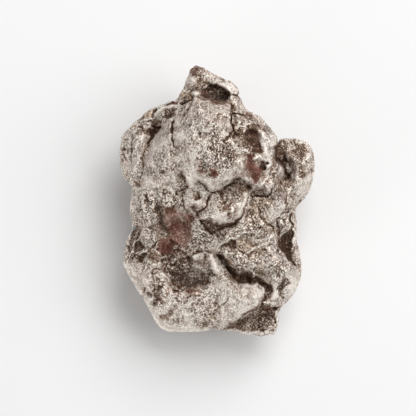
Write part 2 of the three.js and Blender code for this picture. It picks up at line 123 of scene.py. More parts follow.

# ---------------------------------------------------------------------------
# Drawings in plan: X, Y in millimetres from the stone's middle, Y towards the horn
# ---------------------------------------------------------------------------

# Hollows: outline, depth, how dark their dirt and painted shade make them, and how far their edge spreads
HOLLOWS = [
    # under the horn's arch
    ([(-3.6, 24.6), (-2.2, 25.1), (-1.2, 26.0), (0.2, 25.7), (1.6, 24.9), (2.6, 23.9), (2.9, 22.8),
      (2.4, 21.9), (-1.6, 22.0), (-2.9, 22.5), (-3.5, 23.3)], 0.5, 0.62, 0.25),
    # the slit over the upper left ridge, and the gap behind it
    ([(-11.2, 21.3), (-10.4, 21.7), (-9.2, 21.9), (-8.9, 21.5), (-10.0, 21.2)], 0.33, 0.9, 0.25),
    ([(-15.1, 18.2), (-14.0, 18.9), (-12.5, 20.4), (-13.3, 20.4), (-14.3, 19.6)], 0.5, 0.8, 0.25),
    # in front of that ridge
    ([(-11.9, 19.9), (-11.0, 20.0), (-9.5, 20.6), (-9.1, 20.2), (-9.9, 18.3), (-11.8, 18.3),
      (-11.4, 19.1)], 0.39, 0.6, 0.35),
    ([(-15.5, 17.7), (-14.2, 18.1), (-12.8, 17.8), (-12.1, 17.2), (-12.4, 16.7), (-13.9, 16.4),
      (-14.4, 17.0)], 0.2, 0.5, 0.38),
    ([(-13.9, 16.5), (-12.1, 16.4), (-13.3, 15.2), (-13.7, 14.3), (-15.6, 12.1), (-15.3, 13.1),
      (-14.4, 14.2)], 0.77, 1.1, 0.25),
    ([(-17.9, 15.0), (-17.1, 15.3), (-14.3, 14.6), (-13.9, 15.4), (-14.2, 16.1), (-17.4, 16.0),
      (-16.6, 15.6)], 0.28, 0.8, 0.3),
    # between the horn's right foot and the long lobe
    ([(2.2, 21.5), (3.9, 20.5), (3.9, 19.9), (3.1, 19.3)], 0.33, 0.75, 0.3),
    ([(6.2, 19.6), (7.2, 19.2), (7.8, 18.3), (7.6, 17.3), (7.0, 17.3), (6.0, 18.9)], 0.22, 0.6, 0.38),
    # the recess inside the right shoulder
    ([(6.3, 16.4), (7.4, 17.0), (8.8, 17.2), (9.6, 16.4), (8.8, 15.9), (8.3, 14.8), (9.0, 12.4),
      (9.8, 11.4), (9.9, 10.8), (9.0, 10.3), (8.0, 10.2), (7.3, 10.8), (7.7, 11.7), (6.0, 13.4),
      (6.0, 14.6), (6.3, 15.4)], 0.35, 0.75, 0.2),
    ([(6.4, 16.2), (8.2, 16.8), (8.4, 15.6), (7.6, 14.4), (6.4, 14.6)], 0.2, 1.0, 0.4),
    ([(9.4, 8.6), (9.9, 8.9), (10.5, 8.8), (10.7, 8.2), (10.2, 7.6), (10.4, 6.9), (9.8, 6.7),
      (9.2, 7.2)], 0.72, 1.1, 0.3),
    # the far right lobe: the recess on its left, and the dip of its top
    ([(12.8, 12.9), (13.6, 13.3), (14.7, 12.9), (15.3, 12.0), (14.9, 11.0), (15.5, 8.6), (15.3, 7.0),
      (15.6, 5.0), (14.4, 4.5), (14.6, 6.6), (14.0, 7.8), (12.9, 8.2), (12.3, 8.8),
      (12.3, 11.0)], 0.3, 0.8, 0.25),
    ([(12.6, 12.2), (13.5, 12.6), (14.2, 11.4), (14.0, 9.6), (13.4, 8.6), (12.4, 9.0),
      (12.3, 10.8)], 0.25, 0.5, 0.3),
    ([(14.5, 4.5), (14.5, 5.8), (15.0, 6.4), (15.9, 5.8), (15.8, 4.6)], 0.3, 0.9, 0.3),
    ([(17.5, 12.2), (19.2, 12.3), (19.5, 11.0), (19.0, 10.0), (17.8, 9.9), (16.9, 10.6),
      (17.1, 11.6)], 0.28, 0.55, 0.6),
    # over the tongue, under the long lobe's lower edge: painted shade under that edge, with dirt
    ([(0.2, 2.2), (3.2, 4.2), (4.0, 5.2), (4.8, 5.0), (7.4, 3.2), (6.8, 2.7), (4.0, 3.8), (2.4, 3.4),
      (1.3, 2.6), (1.0, 0.6), (0.6, 0.4)], 0.4, 0.95, 0.3),
    ([(1.4, 2.4), (2.6, 3.4), (4.2, 3.8), (6.4, 2.6), (5.6, 1.4), (4.0, 1.0), (2.4, 1.6)], 0.25, 0.5, 0.5),
    # under the tongue: painted shadow under its overhanging tip, with dirt
    ([(-1.9, -3.7), (-0.2, -4.8), (0.6, -5.0), (3.4, -4.3), (5.2, -2.9), (4.4, -4.6), (3.0, -5.5),
      (1.6, -5.7), (-0.4, -7.1), (-1.6, -7.2), (-4.2, -4.6), (-3.8, -4.1)], 0.66, 0.9, 0.45),
    # under the step beside the tongue
    ([(7.4, 2.8), (8.4, 3.3), (9.4, 3.3), (10.4, 3.9), (11.2, 5.2), (11.5, 5.0), (10.8, 3.4), (10.8, 2.2),
      (11.8, 1.7), (11.2, 1.1), (10.4, 0.9), (8.8, 1.7), (7.4, 1.4)], 0.1, 0.32, 0.38),
    # inside the right edge
    ([(16.0, -2.6), (16.3, -3.6), (16.4, -5.6), (16.1, -9.4), (16.4, -12.8), (17.2, -14.3), (16.2, -13.8),
      (13.5, -9.8), (13.4, -8.4), (15.0, -7.0), (15.9, -5.6)], 0.61, 1.0, 0.3),
    ([(12.8, -5.8), (13.4, -5.6), (13.6, -7.6), (13.2, -7.9)], 0.22, 0.7, 0.25),
    ([(15.2, -0.9), (15.8, -1.2), (15.6, -2.2), (15.1, -2.6)], 0.17, 0.6, 0.3),
    # the facet under the slab's ridge
    ([(0.9, -9.8), (3.9, -8.2), (4.3, -10.4), (3.4, -10.4)], 0.39, 0.85, 0.3),
    # the crevice over the bottom tongue
    ([(-1.1, -11.2), (1.4, -12.1), (2.8, -13.9), (3.6, -14.4), (4.2, -15.4), (5.0, -15.9), (6.8, -16.0),
      (10.0, -17.0), (11.2, -17.6), (11.9, -18.4), (12.2, -19.2), (11.4, -21.2), (10.6, -22.0),
      (9.6, -22.4), (10.5, -19.8), (10.2, -18.8), (9.6, -18.0), (8.8, -17.7), (4.6, -17.8), (3.9, -17.2),
      (3.0, -15.8), (2.2, -15.2), (0.6, -13.0)], 0.7, 0.8, 0.3),
    # the dark hollow of the lower left, deepest along its lower edge, and the slit under it
    ([(-10.0, -18.2), (-8.6, -18.9), (-7.2, -19.1), (-4.4, -18.2), (-2.6, -18.4), (-1.8, -17.2),
      (-0.4, -16.2), (-1.2, -15.2), (-2.2, -13.2), (-2.6, -11.4), (-3.4, -13.7), (-4.6, -13.3),
      (-6.2, -12.0), (-7.4, -10.6), (-9.4, -10.6), (-10.6, -12.2), (-12.6, -12.6),
      (-12.4, -14.6)], 0.4, 0.5, 0.2),
    ([(-11.2, -14.8), (-9.2, -14.6), (-8.2, -15.6), (-6.4, -16.6), (-3.6, -17.4), (-1.6, -16.6),
      (-2.4, -18.1), (-8.6, -18.9), (-9.8, -18.2)], 0.15, 0.9, 0.3),
    ([(-9.8, -19.4), (-7.4, -19.3), (-7.8, -19.8), (-9.8, -19.9)], 0.28, 0.9, 0.25),
    # the notch of the left edge, and the slot below it
    ([(-19.9, -9.8), (-18.9, -8.0), (-18.2, -5.4), (-17.4, -5.2), (-16.8, -6.2), (-17.0, -7.4),
      (-17.6, -8.3), (-18.2, -8.4), (-19.0, -11.0), (-19.6, -11.0)], 0.44, 0.75, 0.3),
    ([(-17.8, -8.5), (-17.0, -8.8), (-15.9, -10.2), (-16.8, -10.8), (-18.5, -11.2),
      (-18.5, -10.2)], 0.44, 0.85, 0.3),
    ([(-15.8, -11.4), (-15.8, -12.2), (-16.4, -13.2), (-17.0, -13.6), (-17.5, -12.9), (-17.0, -12.0),
      (-16.4, -11.5)], 0.5, 0.9, 0.3),
    # the facet of the lower right, with the step at its top
    ([(1.4, -28.0), (4.2, -26.4), (6.2, -24.4), (9.8, -22.3), (10.4, -22.9), (13.3, -23.0), (13.2, -24.4),
      (12.6, -25.0), (12.8, -26.4), (12.0, -27.4), (10.8, -27.2), (10.4, -28.2), (9.4, -28.8), (6.6, -28.2),
      (5.0, -28.3)], 0.39, 0.72, 0.3),
    ([(10.0, -24.4), (10.4, -23.3), (13.3, -23.1), (13.2, -23.8), (11.6, -24.2), (11.4, -25.6),
      (10.6, -26.4)], 0.33, 0.95, 0.3),
    ([(3.4, -27.6), (5.6, -25.4), (6.0, -26.4), (5.6, -27.8), (4.4, -28.0)], 0.17, 0.9, 0.6),
    ([(-2.0, -28.2), (-1.2, -27.6), (-0.6, -27.3), (0.1, -27.8)], 0.33, 0.8, 0.25),
    # the pit of the lower right shoulder
    ([(13.2, -18.2), (13.8, -17.3), (14.6, -16.7), (15.4, -16.8), (15.3, -17.6), (15.8, -18.2),
      (14.6, -19.0), (13.9, -19.8), (13.4, -19.2)], 0.39, 0.65, 0.3),
    # dark blots of the pale slope
    ([(-13.1, -18.2), (-12.4, -18.0), (-12.2, -18.8), (-12.8, -19.2)], 0.17, 1.0, 0.3),
    ([(-14.4, -18.4), (-13.6, -18.2), (-13.4, -19.0), (-14.2, -19.6)], 0.11, 0.75, 0.38),
    ([(-14.4, -20.4), (-13.2, -20.2), (-12.6, -21.4), (-13.2, -22.4), (-13.9, -22.7),
      (-13.7, -21.2)], 0.17, 0.85, 0.38),
    ([(-12.8, -24.9), (-11.2, -24.2), (-10.6, -23.4), (-9.4, -23.1), (-9.2, -23.6), (-10.2, -25.8),
      (-10.8, -26.2), (-11.4, -25.8), (-12.8, -25.6)], 0.17, 0.5, 0.38),
    # dark blots of the rough left side
    ([(-16.5, 1.7), (-15.8, 1.6), (-15.5, 0.8), (-16.0, 0.0)], 0.22, 0.95, 0.25),
    ([(-15.1, 1.7), (-14.2, 1.5), (-14.4, 1.0), (-15.0, 1.2)], 0.17, 0.7, 0.3),
    ([(-12.0, 2.3), (-11.6, 1.8), (-11.8, 1.1), (-12.2, 1.4)], 0.22, 0.85, 0.3),
    ([(-8.2, 6.7), (-7.6, 6.4), (-7.0, 5.2), (-6.9, 4.0), (-6.3, 2.7), (-7.0, 2.7),
      (-7.9, 5.0)], 0.28, 0.7, 0.38),
    ([(-18.3, 4.6), (-17.3, 4.4), (-17.0, 3.6), (-17.6, 3.5)], 0.17, 0.8, 0.3),
]

# Creases: path, width, depth, and how dark their dirt and painted shade make them
CREASES = [
    # round the horn's feet
    ([(-8.2, 21.6), (-7.4, 21.3), (-6.0, 22.0)], 0.19, 0.48, 1.0),
    ([(2.9, 23.4), (4.8, 23.1)], 0.15, 0.54, 1.0),
    ([(-5.4, 22.8), (-5.6, 21.5), (-7.0, 18.3)], 0.34, 0.21, 0.4),
    # left of the long lobe
    ([(-9.7, 17.5), (-9.9, 14.3)], 0.22, 0.6, 1.2),
    ([(-9.95, 14.0), (-9.3, 12.6), (-9.2, 11.8)], 0.17, 0.48, 1.0),
    ([(-10.1, 11.6), (-9.9, 9.8), (-8.6, 7.0), (-7.9, 6.2)], 0.17, 0.21, 0.3),
    ([(-7.0, 2.8), (-7.9, 2.2), (-7.0, -1.8)], 0.19, 0.2, 0.4),
    # right of the long lobe, and round the knob in the recess
    ([(2.9, 20.2), (3.0, 15.4), (1.5, 13.0), (1.7, 12.2)], 0.19, 0.6, 1.0),
    ([(3.1, 19.2), (4.4, 19.35), (6.1, 18.8)], 0.17, 0.54, 1.0),
    ([(3.0, 15.2), (3.6, 14.4), (4.8, 14.1), (6.2, 14.4)], 0.3, 0.3, 0.7),
    # the left side of the far right lobe
    ([(13.3, 13.4), (12.3, 9.6)], 0.35, 0.3, 1.0),
    ([(12.4, 9.5), (13.6, 9.1), (14.6, 8.0), (14.9, 6.6), (14.4, 5.2)], 0.3, 0.4, 0.9),
    # the long lobe's lower edge
    ([(-4.5, 3.6), (-3.8, 4.2), (-1.8, 2.3), (-1.2, 2.0), (0.4, 2.3)], 0.17, 0.45, 1.0),
    # under the step beside the tongue
    ([(7.2, 1.4), (7.6, 1.1), (8.2, 1.5), (9.0, 1.5), (10.4, 0.85), (11.2, 1.1), (11.8, 1.8),
      (12.3, 3.8)], 0.17, 0.5, 1.1),
    # between the two left lobes
    ([(-15.7, 12.1), (-16.4, 9.2), (-16.3, 8.0), (-17.1, 4.4)], 0.12, 0.3, 0.8),
    ([(-20.1, 15.2), (-20.4, 13.8)], 0.15, 0.18, 0.6),
    ([(-21.1, 10.5), (-20.2, 9.3)], 0.2, 0.24, 0.8),
    ([(-18.9, 15.0), (-18.5, 13.0), (-18.8, 8.6)], 0.21, 0.18, 0.28),
    # the tongue and the round lobe
    ([(-1.8, 1.8), (-2.3, 0.6), (-2.4, -0.3), (-2.8, -1.0), (-4.0, -2.0), (-4.2, -3.0),
      (-3.8, -4.2)], 0.17, 0.45, 1.0),
    ([(7.0, 1.6), (5.8, -1.8), (4.8, -3.4)], 0.19, 0.36, 0.5),
    ([(1.5, 1.8), (1.1, 0.9), (1.3, -0.1), (2.0, -0.2), (2.3, 0.6), (2.0, 1.5)], 0.17, 0.27, 0.8),
    # the slab's crack, its short dash, and the strip at its right edge
    ([(8.4, -0.6), (9.6, -3.2), (11.0, -5.2), (11.9, -5.5), (12.1, -6.2)], 0.13, 0.3, 0.9),
    ([(8.3, -8.0), (9.2, -8.2), (10.2, -8.0)], 0.17, 0.36, 0.8),
    ([(14.9, 2.2), (15.1, 0.8), (14.9, -0.8), (14.4, -2.2)], 0.14, 0.24, 0.7),
    ([(18.2, 0.1), (17.6, -0.1), (16.1, -3.2)], 0.15, 0.3, 0.7),
    # the shell-like boss and its inner ring
    ([(13.4, -5.6), (12.8, -4.9), (12.9, -3.9), (13.6, -2.9), (14.3, -2.5), (15.1, -2.4)], 0.14, 0.42, 0.9),
    ([(13.3, -5.1), (13.1, -4.3), (13.6, -3.6), (14.4, -3.7), (14.8, -4.5), (14.4, -5.3),
      (13.7, -5.4)], 0.14, 0.25, 0.9),
    # striations of the crevice inside the right edge
    ([(15.2, -7.2), (14.9, -9.0), (15.4, -11.6)], 0.14, 0.21, 0.3),
    ([(16.9, -3.4), (16.8, -10.6), (17.3, -13.6)], 0.13, 0.18, 0.4),
    # the plates under the slab
    ([(4.3, -10.6), (5.4, -11.3), (6.8, -11.7), (7.5, -11.1)], 0.19, 0.24, 0.6),
    ([(10.3, -9.3), (11.4, -9.2), (12.1, -9.8)], 0.17, 0.21, 0.6),
    ([(10.5, -10.2), (10.9, -11.3), (11.6, -12.0)], 0.17, 0.21, 0.5),
    ([(7.9, -12.8), (8.3, -13.6), (7.8, -15.0), (7.0, -15.8)], 0.17, 0.21, 0.5),
    # the pale slope
    ([(-14.3, -16.3), (-14.4, -15.4), (-14.0, -14.8), (-13.2, -14.6), (-12.3, -14.9)], 0.19, 0.3, 0.8),
    ([(-9.4, -26.5), (-9.0, -25.2)], 0.14, 0.24, 0.7),
    ([(-8.8, -27.0), (-8.6, -25.6)], 0.17, 0.24, 0.8),
    ([(-7.9, -26.8), (-7.5, -25.8), (-7.6, -24.9)], 0.14, 0.24, 0.7),
    ([(-10.0, -21.8), (-8.8, -21.7), (-8.0, -22.2)], 0.15, 0.21, 0.6),
    ([(-11.8, -20.0), (-11.4, -21.0), (-10.8, -21.6)], 0.15, 0.18, 0.5),
    ([(-0.8, -18.4), (-0.3, -20.8), (-0.6, -22.6)], 0.13, 0.18, 0.35),
    # the bottom tongue: fine lines across it, and the step down from its lower edge
    ([(2.6, -20.9), (0.6, -23.2), (0.0, -23.6)], 0.13, 0.24, 0.6),
    ([(3.2, -24.6), (3.6, -25.4)], 0.14, 0.15, 0.5),
    ([(10.2, -21.3), (8.5, -22.9), (6.2, -24.4), (4.6, -26.1), (1.3, -27.9)], 0.17, 0.42, 0.9),
    ([(13.5, -20.1), (13.9, -21.0), (14.5, -21.4)], 0.19, 0.3, 0.8),
    # the dish and the notch of the left side
    ([(-13.7, -9.1), (-15.5, -11.1)], 0.19, 0.36, 0.9),
    ([(-15.3, -5.8), (-13.2, -5.0)], 0.17, 0.24, 0.6),
    ([(-13.2, -0.4), (-12.4, -4.0), (-10.9, -7.0)], 0.6, 0.25, 0.9),
    ([(-10.5, -8.2), (-9.8, -8.8), (-9.6, -9.6)], 0.22, 0.24, 0.9),
    ([(-10.4, -1.3), (-9.8, -1.7), (-9.1, -1.2)], 0.22, 0.24, 0.7),
    ([(-19.2, 1.5), (-19.4, -0.4)], 0.13, 0.18, 0.6),
    ([(-14.4, 2.5), (-12.0, 3.1), (-11.0, 2.9)], 0.26, 0.21, 0.5),
    ([(-6.0, -12.4), (-4.4, -11.2), (-3.0, -10.8), (-1.6, -11.0)], 0.2, 0.3, 0.8),
]

# Ridges, worn bright: path, width and height
RIDGES = [
    ([(-5.0, 29.2), (0.0, 27.1), (2.6, 25.7), (4.0, 24.2)], 0.7, 0.24),
    ([(-17.4, 17.3), (-16.0, 17.6), (-13.8, 18.7), (-12.0, 20.4), (-9.2, 21.1)], 0.24, 0.48),
    ([(-11.4, 21.6), (-10.4, 22.1), (-9.2, 22.3)], 0.22, 0.3),
    ([(-17.4, 16.6), (-16.0, 17.0), (-14.8, 16.9), (-14.2, 16.4)], 0.26, 0.3),
    ([(3.9, 16.5), (4.6, 17.2), (5.6, 17.6)], 0.3, 0.24),
    ([(2.6, 13.2), (3.6, 12.0), (6.2, 10.8)], 0.4, 0.3),
    ([(8.0, 9.2), (8.9, 9.5), (9.6, 9.2)], 0.3, 0.24),
    ([(9.2, 3.4), (10.4, 4.2), (11.2, 5.4), (11.6, 7.0)], 0.3, 0.24),
    ([(11.0, 2.2), (11.5, 4.9)], 0.35, 0.3),
    ([(17.0, 9.2), (18.4, 8.9), (19.6, 9.4), (20.2, 10.8)], 0.35, 0.2),
    ([(13.3, 13.8), (14.8, 14.1), (16.4, 14.0), (18.2, 13.4), (20.0, 12.4)], 0.35, 0.15),
    ([(-0.4, -10.1), (2.6, -8.3), (5.2, -7.4)], 0.24, 0.48),
    ([(5.8, -11.7), (11.4, -8.5), (12.3, -7.4)], 0.28, 0.42),
    ([(13.0, -8.4), (13.3, -9.9), (14.0, -11.3), (17.0, -14.4)], 0.24, 0.3),
    ([(13.9, -8.0), (15.0, -7.1), (15.8, -5.8), (15.8, -3.0)], 0.22, 0.3),
    ([(-2.0, -11.6), (0.3, -15.8)], 0.5, 0.36),
    ([(-12.4, -15.0), (-10.6, -18.0)], 0.3, 0.42),
    ([(-18.0, -8.2), (-19.0, -11.2)], 0.16, 0.42),
    ([(-14.9, -10.3), (-17.4, -11.9)], 0.22, 0.3),
    ([(-20.8, -12.8), (-18.5, -17.6), (-15.3, -23.4), (-12.8, -27.2), (-11.0, -28.3),
      (-4.0, -28.6)], 0.35, 0.1),
    ([(-5.4, -12.6), (-4.2, -11.9), (-3.1, -11.7)], 0.35, 0.3),
    ([(1.5, -11.0), (7.0, -12.9)], 0.35, 0.24),
    ([(10.4, -22.3), (13.0, -22.5), (14.0, -21.9)], 0.24, 0.3),
    ([(12.0, -17.6), (12.6, -18.6), (12.6, -20.2), (12.0, -21.6)], 0.4, 0.24),
    ([(5.0, -18.1), (7.0, -18.0), (8.8, -18.2)], 0.3, 0.21),
    ([(-1.4, -3.5), (0.2, -4.3), (2.0, -4.2), (3.8, -3.4), (5.2, -2.0), (6.9, 1.9)], 0.6, 0.24),
    ([(13.3, -24.6), (13.2, -27.2), (12.4, -29.0), (9.0, -29.2), (5.0, -28.8)], 0.3, 0.24),
]

# Round pits, and knobs with a depth below zero: middle, radius, depth, and how dark their dirt and painted
# shade make them
PITS = [
    ((-4.6, 1.1), 0.95, 0.5, 0.85), ((-4.8, -1.4), 0.75, 0.4, 0.85), ((-20.4, 11.5), 0.45, 0.3, 0.6),
    ((-12.0, 6.4), 0.55, 0.2, 0.6), ((-5.9, 16.6), 0.32, 0.3, 0.7), ((-2.4, 16.3), 0.4, 0.2, 0.55),
    ((-2.6, 15.7), 0.25, 0.2, 0.5), ((-4.1, 14.3), 0.32, 0.3, 0.7), ((-2.1, 17.6), 0.22, 0.2, 0.5),
    ((12.9, 6.8), 0.2, 0.3, 0.9), ((-3.2, 29.4), 0.3, 0.2, 0.7), ((2.4, -2.6), 0.3, 0.2, 0.5),
    ((1.2, 18.0), 0.3, 0.2, 0.4), ((18.6, 6.2), 0.35, 0.3, 0.6), ((10.7, 13.2), 0.2, 0.1, 0.3),
    ((13.6, 3.8), 0.35, 0.3, 0.6), ((4.2, 9.8), 0.4, 0.3, 0.5), ((7.4, 14.9), 0.7, 0.6, 0.6),
    ((-9.0, -23.4), 0.3, 0.2, 0.4), ((-16.1, -19.0), 0.4, 0.2, 0.5), ((-15.2, -20.2), 0.35, 0.2, 0.45),
    ((-20.9, 14.3), 1.3, -0.6, 0.0),
    ((-4.4, 23.6), 0.75, -0.9, 0.0), ((9.4, 14.8), 0.6, -0.7, 0.0), ((-7.2, 23.2), 0.9, -0.4, 0.0),
    ((13.3, 7.4), 1.4, -0.3, 0.0), ((0.4, -3.3), 1.4, -0.4, 0.0), ((14.0, -4.5), 0.5, -0.25, 0.0),
    ((-8.9, -19.0), 0.35, -0.5, 0.0), ((-9.9, -11.2), 0.3, -0.4, 0.0),
]

# Tints: outline, strength and how far the edge spreads
# Stains of dirt, with painted shade laid on them under overhangs and in recesses
STAINS_AND_SHADE = [
    # the horn, and the brown strip at its right foot
    ([(-6.2, 29.2), (-4.2, 29.8), (-2.6, 29.0), (-3.2, 27.6), (-5.2, 27.2), (-6.2, 28.0)], 0.5, 0.5),
    ([(-6.2, 25.8), (-4.2, 26.6), (-1.8, 26.4), (-3.2, 24.4), (-5.8, 24.0), (-6.6, 24.8)], 0.45, 0.4),
    ([(-2.2, 22.4), (2.8, 22.2), (3.8, 21.2), (3.9, 19.6), (3.0, 19.2), (2.4, 21.2),
      (-1.8, 21.2)], 0.5, 0.3),
    # round the right shoulder's recess
    ([(4.2, 15.8), (6.4, 15.6), (8.0, 11.0), (7.0, 11.0), (6.0, 12.8), (4.0, 14.0)], 0.5, 0.4),
    ([(6.1, 10.4), (7.6, 10.4), (8.9, 7.4), (9.9, 6.4), (8.2, 4.3), (7.2, 4.8)], 0.5, 0.4),
    ([(1.8, 12.0), (3.0, 11.8), (3.6, 10.4), (3.4, 8.8), (2.4, 8.6)], 0.5, 0.3),
    ([(6.6, 19.0), (8.2, 18.4), (8.8, 17.2), (7.4, 17.0), (6.4, 17.8)], 0.4, 0.3),
    # the far right lobe's left side, and below it
    ([(12.2, 9.4), (12.4, 12.0), (13.4, 13.6), (15.6, 13.4), (15.6, 11.6), (14.0, 8.8)], 0.6, 0.3),
    ([(17.2, 12.4), (19.4, 12.2), (19.2, 10.0), (17.4, 10.0)], 0.35, 0.4),
    ([(12.2, 5.0), (13.6, 4.8), (14.8, 2.0), (14.2, 0.2), (13.2, 0.8)], 0.3, 0.5),
    ([(18.4, 7.0), (19.6, 7.0), (19.4, 5.2), (18.2, 5.2)], 0.4, 0.4),
    # the top of the tongue, in painted shade under the long lobe's edge, and its left end
    ([(0.8, 2.4), (4.2, 4.0), (6.4, 3.0), (6.2, 1.4), (3.4, -0.4), (2.4, 0.0), (1.4, -1.2),
      (0.8, 0.0)], 0.45, 0.5),
    ([(0.6, -0.4), (2.8, -0.6), (2.9, -2.0), (1.4, -2.2)], 0.45, 0.4),
    ([(-0.6, -6.0), (1.6, -5.8), (2.0, -7.0), (0.6, -8.0), (-0.6, -7.4)], 0.4, 0.4),
    # round the rusty dish of the left side
    ([(-14.2, -0.8), (-13.2, -0.2), (-11.8, -1.2), (-8.9, -1.2), (-8.9, -2.4), (-10.4, -3.0), (-11.6, -2.8),
      (-12.0, -4.4), (-13.2, -3.4)], 0.5, 0.4),
    ([(-12.6, -8.8), (-10.6, -7.8), (-8.0, -10.4), (-10.0, -12.4), (-12.0, -12.0)], 0.5, 0.5),
    ([(-9.0, -10.6), (-6.0, -10.4), (-5.4, -12.0), (-8.0, -13.0)], 0.4, 0.5),
    # the pale slope
    ([(-15.8, -11.2), (-13.0, -11.0), (-12.6, -13.0), (-14.4, -13.6)], 0.4, 0.5),
    ([(-19.6, -11.4), (-17.4, -11.6), (-17.0, -13.2), (-19.4, -13.0)], 0.35, 0.4),
    ([(-14.2, -16.6), (-12.4, -16.8), (-12.0, -19.4), (-12.6, -22.2), (-13.8, -22.6)], 0.4, 0.4),
    ([(-7.4, -19.4), (-5.0, -19.0), (-4.4, -20.6), (-6.4, -21.4)], 0.45, 0.4),
    # the ledge and the facet of the lower right
    ([(8.0, -23.2), (10.0, -22.6), (13.4, -23.0), (13.6, -23.8), (11.0, -24.8), (9.0, -24.6)], 0.6, 0.3),
    ([(3.4, -27.4), (5.0, -26.0), (6.2, -26.6), (6.0, -28.2), (4.0, -28.2)], 0.5, 0.3),
]

RUST = [
    # the dish of the left side, redder at its lower end, and a patch beyond its streak
    ([(-11.6, -1.6), (-5.4, -2.6), (-5.6, -8.0), (-7.4, -9.8), (-9.8, -9.8), (-12.0, -3.0)], 1.0, 0.5),
    ([(-13.2, -8.0), (-11.6, -7.4), (-9.8, -7.8), (-9.4, -9.6), (-10.0, -11.4), (-12.0, -11.4),
      (-13.6, -10.0)], 1.1, 0.5),
    ([(-13.8, -5.4), (-12.6, -4.9), (-11.8, -5.8), (-12.6, -6.6), (-13.6, -6.2)], 0.8, 0.4),
    ([(-14.5, -3.0), (-14.1, -1.2), (-13.5, -0.8), (-13.5, -3.7)], 0.8, 0.3),
    # the long lobe's foot
    ([(-4.9, 6.6), (-4.3, 7.0), (-2.2, 6.2), (-3.6, 5.9)], 1.1, 0.3),
    ([(-2.0, 7.2), (-1.2, 7.4), (0.2, 5.6), (-0.4, 5.2), (-1.4, 5.5)], 1.2, 0.3),
    ([(-4.3, 8.8), (-3.6, 8.9), (-3.2, 8.2), (-3.8, 7.8)], 0.9, 0.3),
    # right of it
    ([(6.0, 10.5), (7.9, 9.8), (7.6, 8.6), (9.9, 6.7), (9.8, 5.6), (7.6, 4.3), (7.2, 5.0), (7.8, 5.8),
      (6.3, 7.4)], 1.2, 0.3),
    ([(6.4, 16.0), (8.4, 15.6), (9.8, 10.9), (8.2, 10.3), (7.2, 12.8), (6.0, 14.0)], 0.35, 0.3),
    ([(0.5, -0.5), (3.2, -1.4), (2.4, -2.0), (0.8, -1.9)], 0.7, 0.5),
    ([(-2.0, 21.9), (2.6, 21.8), (2.7, 21.1), (-1.6, 21.1)], 0.6, 0.4),
    ([(2.4, -16.2), (3.6, -16.2), (3.9, -17.3), (2.8, -17.2)], 0.8, 0.3),
    ([(-6.6, -18.9), (-4.0, -18.4), (-3.4, -19.4), (-4.6, -20.4), (-6.4, -20.2)], 0.6, 0.6),
    ([(-15.4, -11.6), (-13.4, -11.0), (-13.2, -12.6), (-14.8, -13.6)], 0.5, 0.6),
    ([(-6.4, 28.9), (-4.4, 29.4), (-3.6, 28.4), (-4.6, 27.4), (-6.0, 27.8)], 0.45, 0.5),
]

TAN = [
    # the slab and the zone under it
    ([(7.4, 1.0), (8.8, 1.4), (10.4, 0.6), (11.4, 0.9), (12.2, 0.4), (10.4, -2.6), (8.0, -3.2),
      (6.0, -3.0)], 0.8, 0.5),
    ([(6.0, -3.0), (10.4, -2.6), (12.0, -5.2), (12.0, -6.4), (10.2, -7.6), (4.0, -7.9), (1.0, -8.8),
      (1.4, -7.4)], 0.45, 0.6),
    ([(4.0, -8.0), (8.0, -8.1), (7.6, -10.6), (6.8, -11.4), (4.2, -10.8)], 0.8, 0.3),
    ([(8.4, -10.6), (9.8, -9.9), (9.9, -12.0), (8.6, -12.6), (7.6, -11.8)], 0.7, 0.3),
    ([(1.5, -12.0), (3.4, -12.8), (3.4, -13.8), (1.6, -13.0)], 1.0, 0.3),
    ([(8.0, -13.6), (9.8, -13.8), (10.3, -15.4), (9.9, -16.8), (8.4, -16.2)], 0.8, 0.4),
    # knobs and lenses of the upper left, and the knob in the right shoulder's recess
    ([(-17.5, 18.0), (-15.6, 20.0), (-13.2, 20.6), (-15.1, 18.4), (-16.8, 17.6)], 0.9, 0.2),
    ([(-13.4, 18.6), (-12.0, 18.8), (-11.2, 17.2), (-12.4, 17.2)], 0.6, 0.3),
    ([(-8.3, 23.6), (-5.6, 24.2), (-5.6, 22.6), (-6.6, 21.8), (-8.2, 21.9)], 0.9, 0.3),
    ([(-4.4, 26.8), (-1.2, 26.4), (-1.2, 25.2), (-6.0, 24.4)], 0.6, 0.4),
    ([(-2.0, 25.2), (-1.2, 26.2), (0.4, 25.8), (2.6, 24.2), (2.0, 23.9)], 1.0, 0.3),
    ([(3.1, 18.6), (3.9, 18.0), (4.2, 16.4), (6.2, 16.2), (6.3, 14.4), (3.2, 14.8)], 0.8, 0.4),
    ([(2.8, 14.4), (6.4, 14.4), (7.4, 13.3), (3.2, 13.6)], 0.8, 0.3),
    # the far right lobe, the step, and stains of the left side and the slope
    ([(16.2, 13.0), (19.3, 12.4), (19.6, 10.0), (18.8, 6.0), (17.0, 6.2), (15.8, 10.4)], 0.55, 0.6),
    ([(15.0, 2.6), (17.4, 1.4), (17.6, 0.2), (16.4, -2.0), (15.0, -2.4)], 0.4, 0.4),
    ([(-10.2, 0.4), (-9.8, 2.0), (-8.6, 2.4), (-7.6, 2.0), (-7.6, 0.4)], 0.7, 0.5),
    ([(-9.4, 6.8), (-8.0, 6.6), (-7.6, 4.0), (-8.2, 2.8), (-9.0, 4.0)], 0.4, 0.4),
    ([(-17.6, -0.6), (-16.4, -0.4), (-16.4, -2.6), (-18.0, -3.0)], 0.4, 0.6),
    ([(-16.8, -5.6), (-14.0, -5.4), (-13.4, -7.6), (-14.6, -9.0), (-16.6, -8.0)], 0.5, 0.6),
    ([(-16.6, -18.4), (-15.0, -18.4), (-14.8, -20.8), (-16.4, -21.2)], 0.5, 0.5),
    ([(-4.3, -27.8), (-3.2, -25.4), (-0.2, -23.4), (-0.4, -25.6), (-3.0, -28.0)], 0.8, 0.4),
    ([(-6.4, -11.0), (-4.0, -9.8), (-2.4, -10.6), (-5.0, -11.8)], 0.6, 0.4),
]

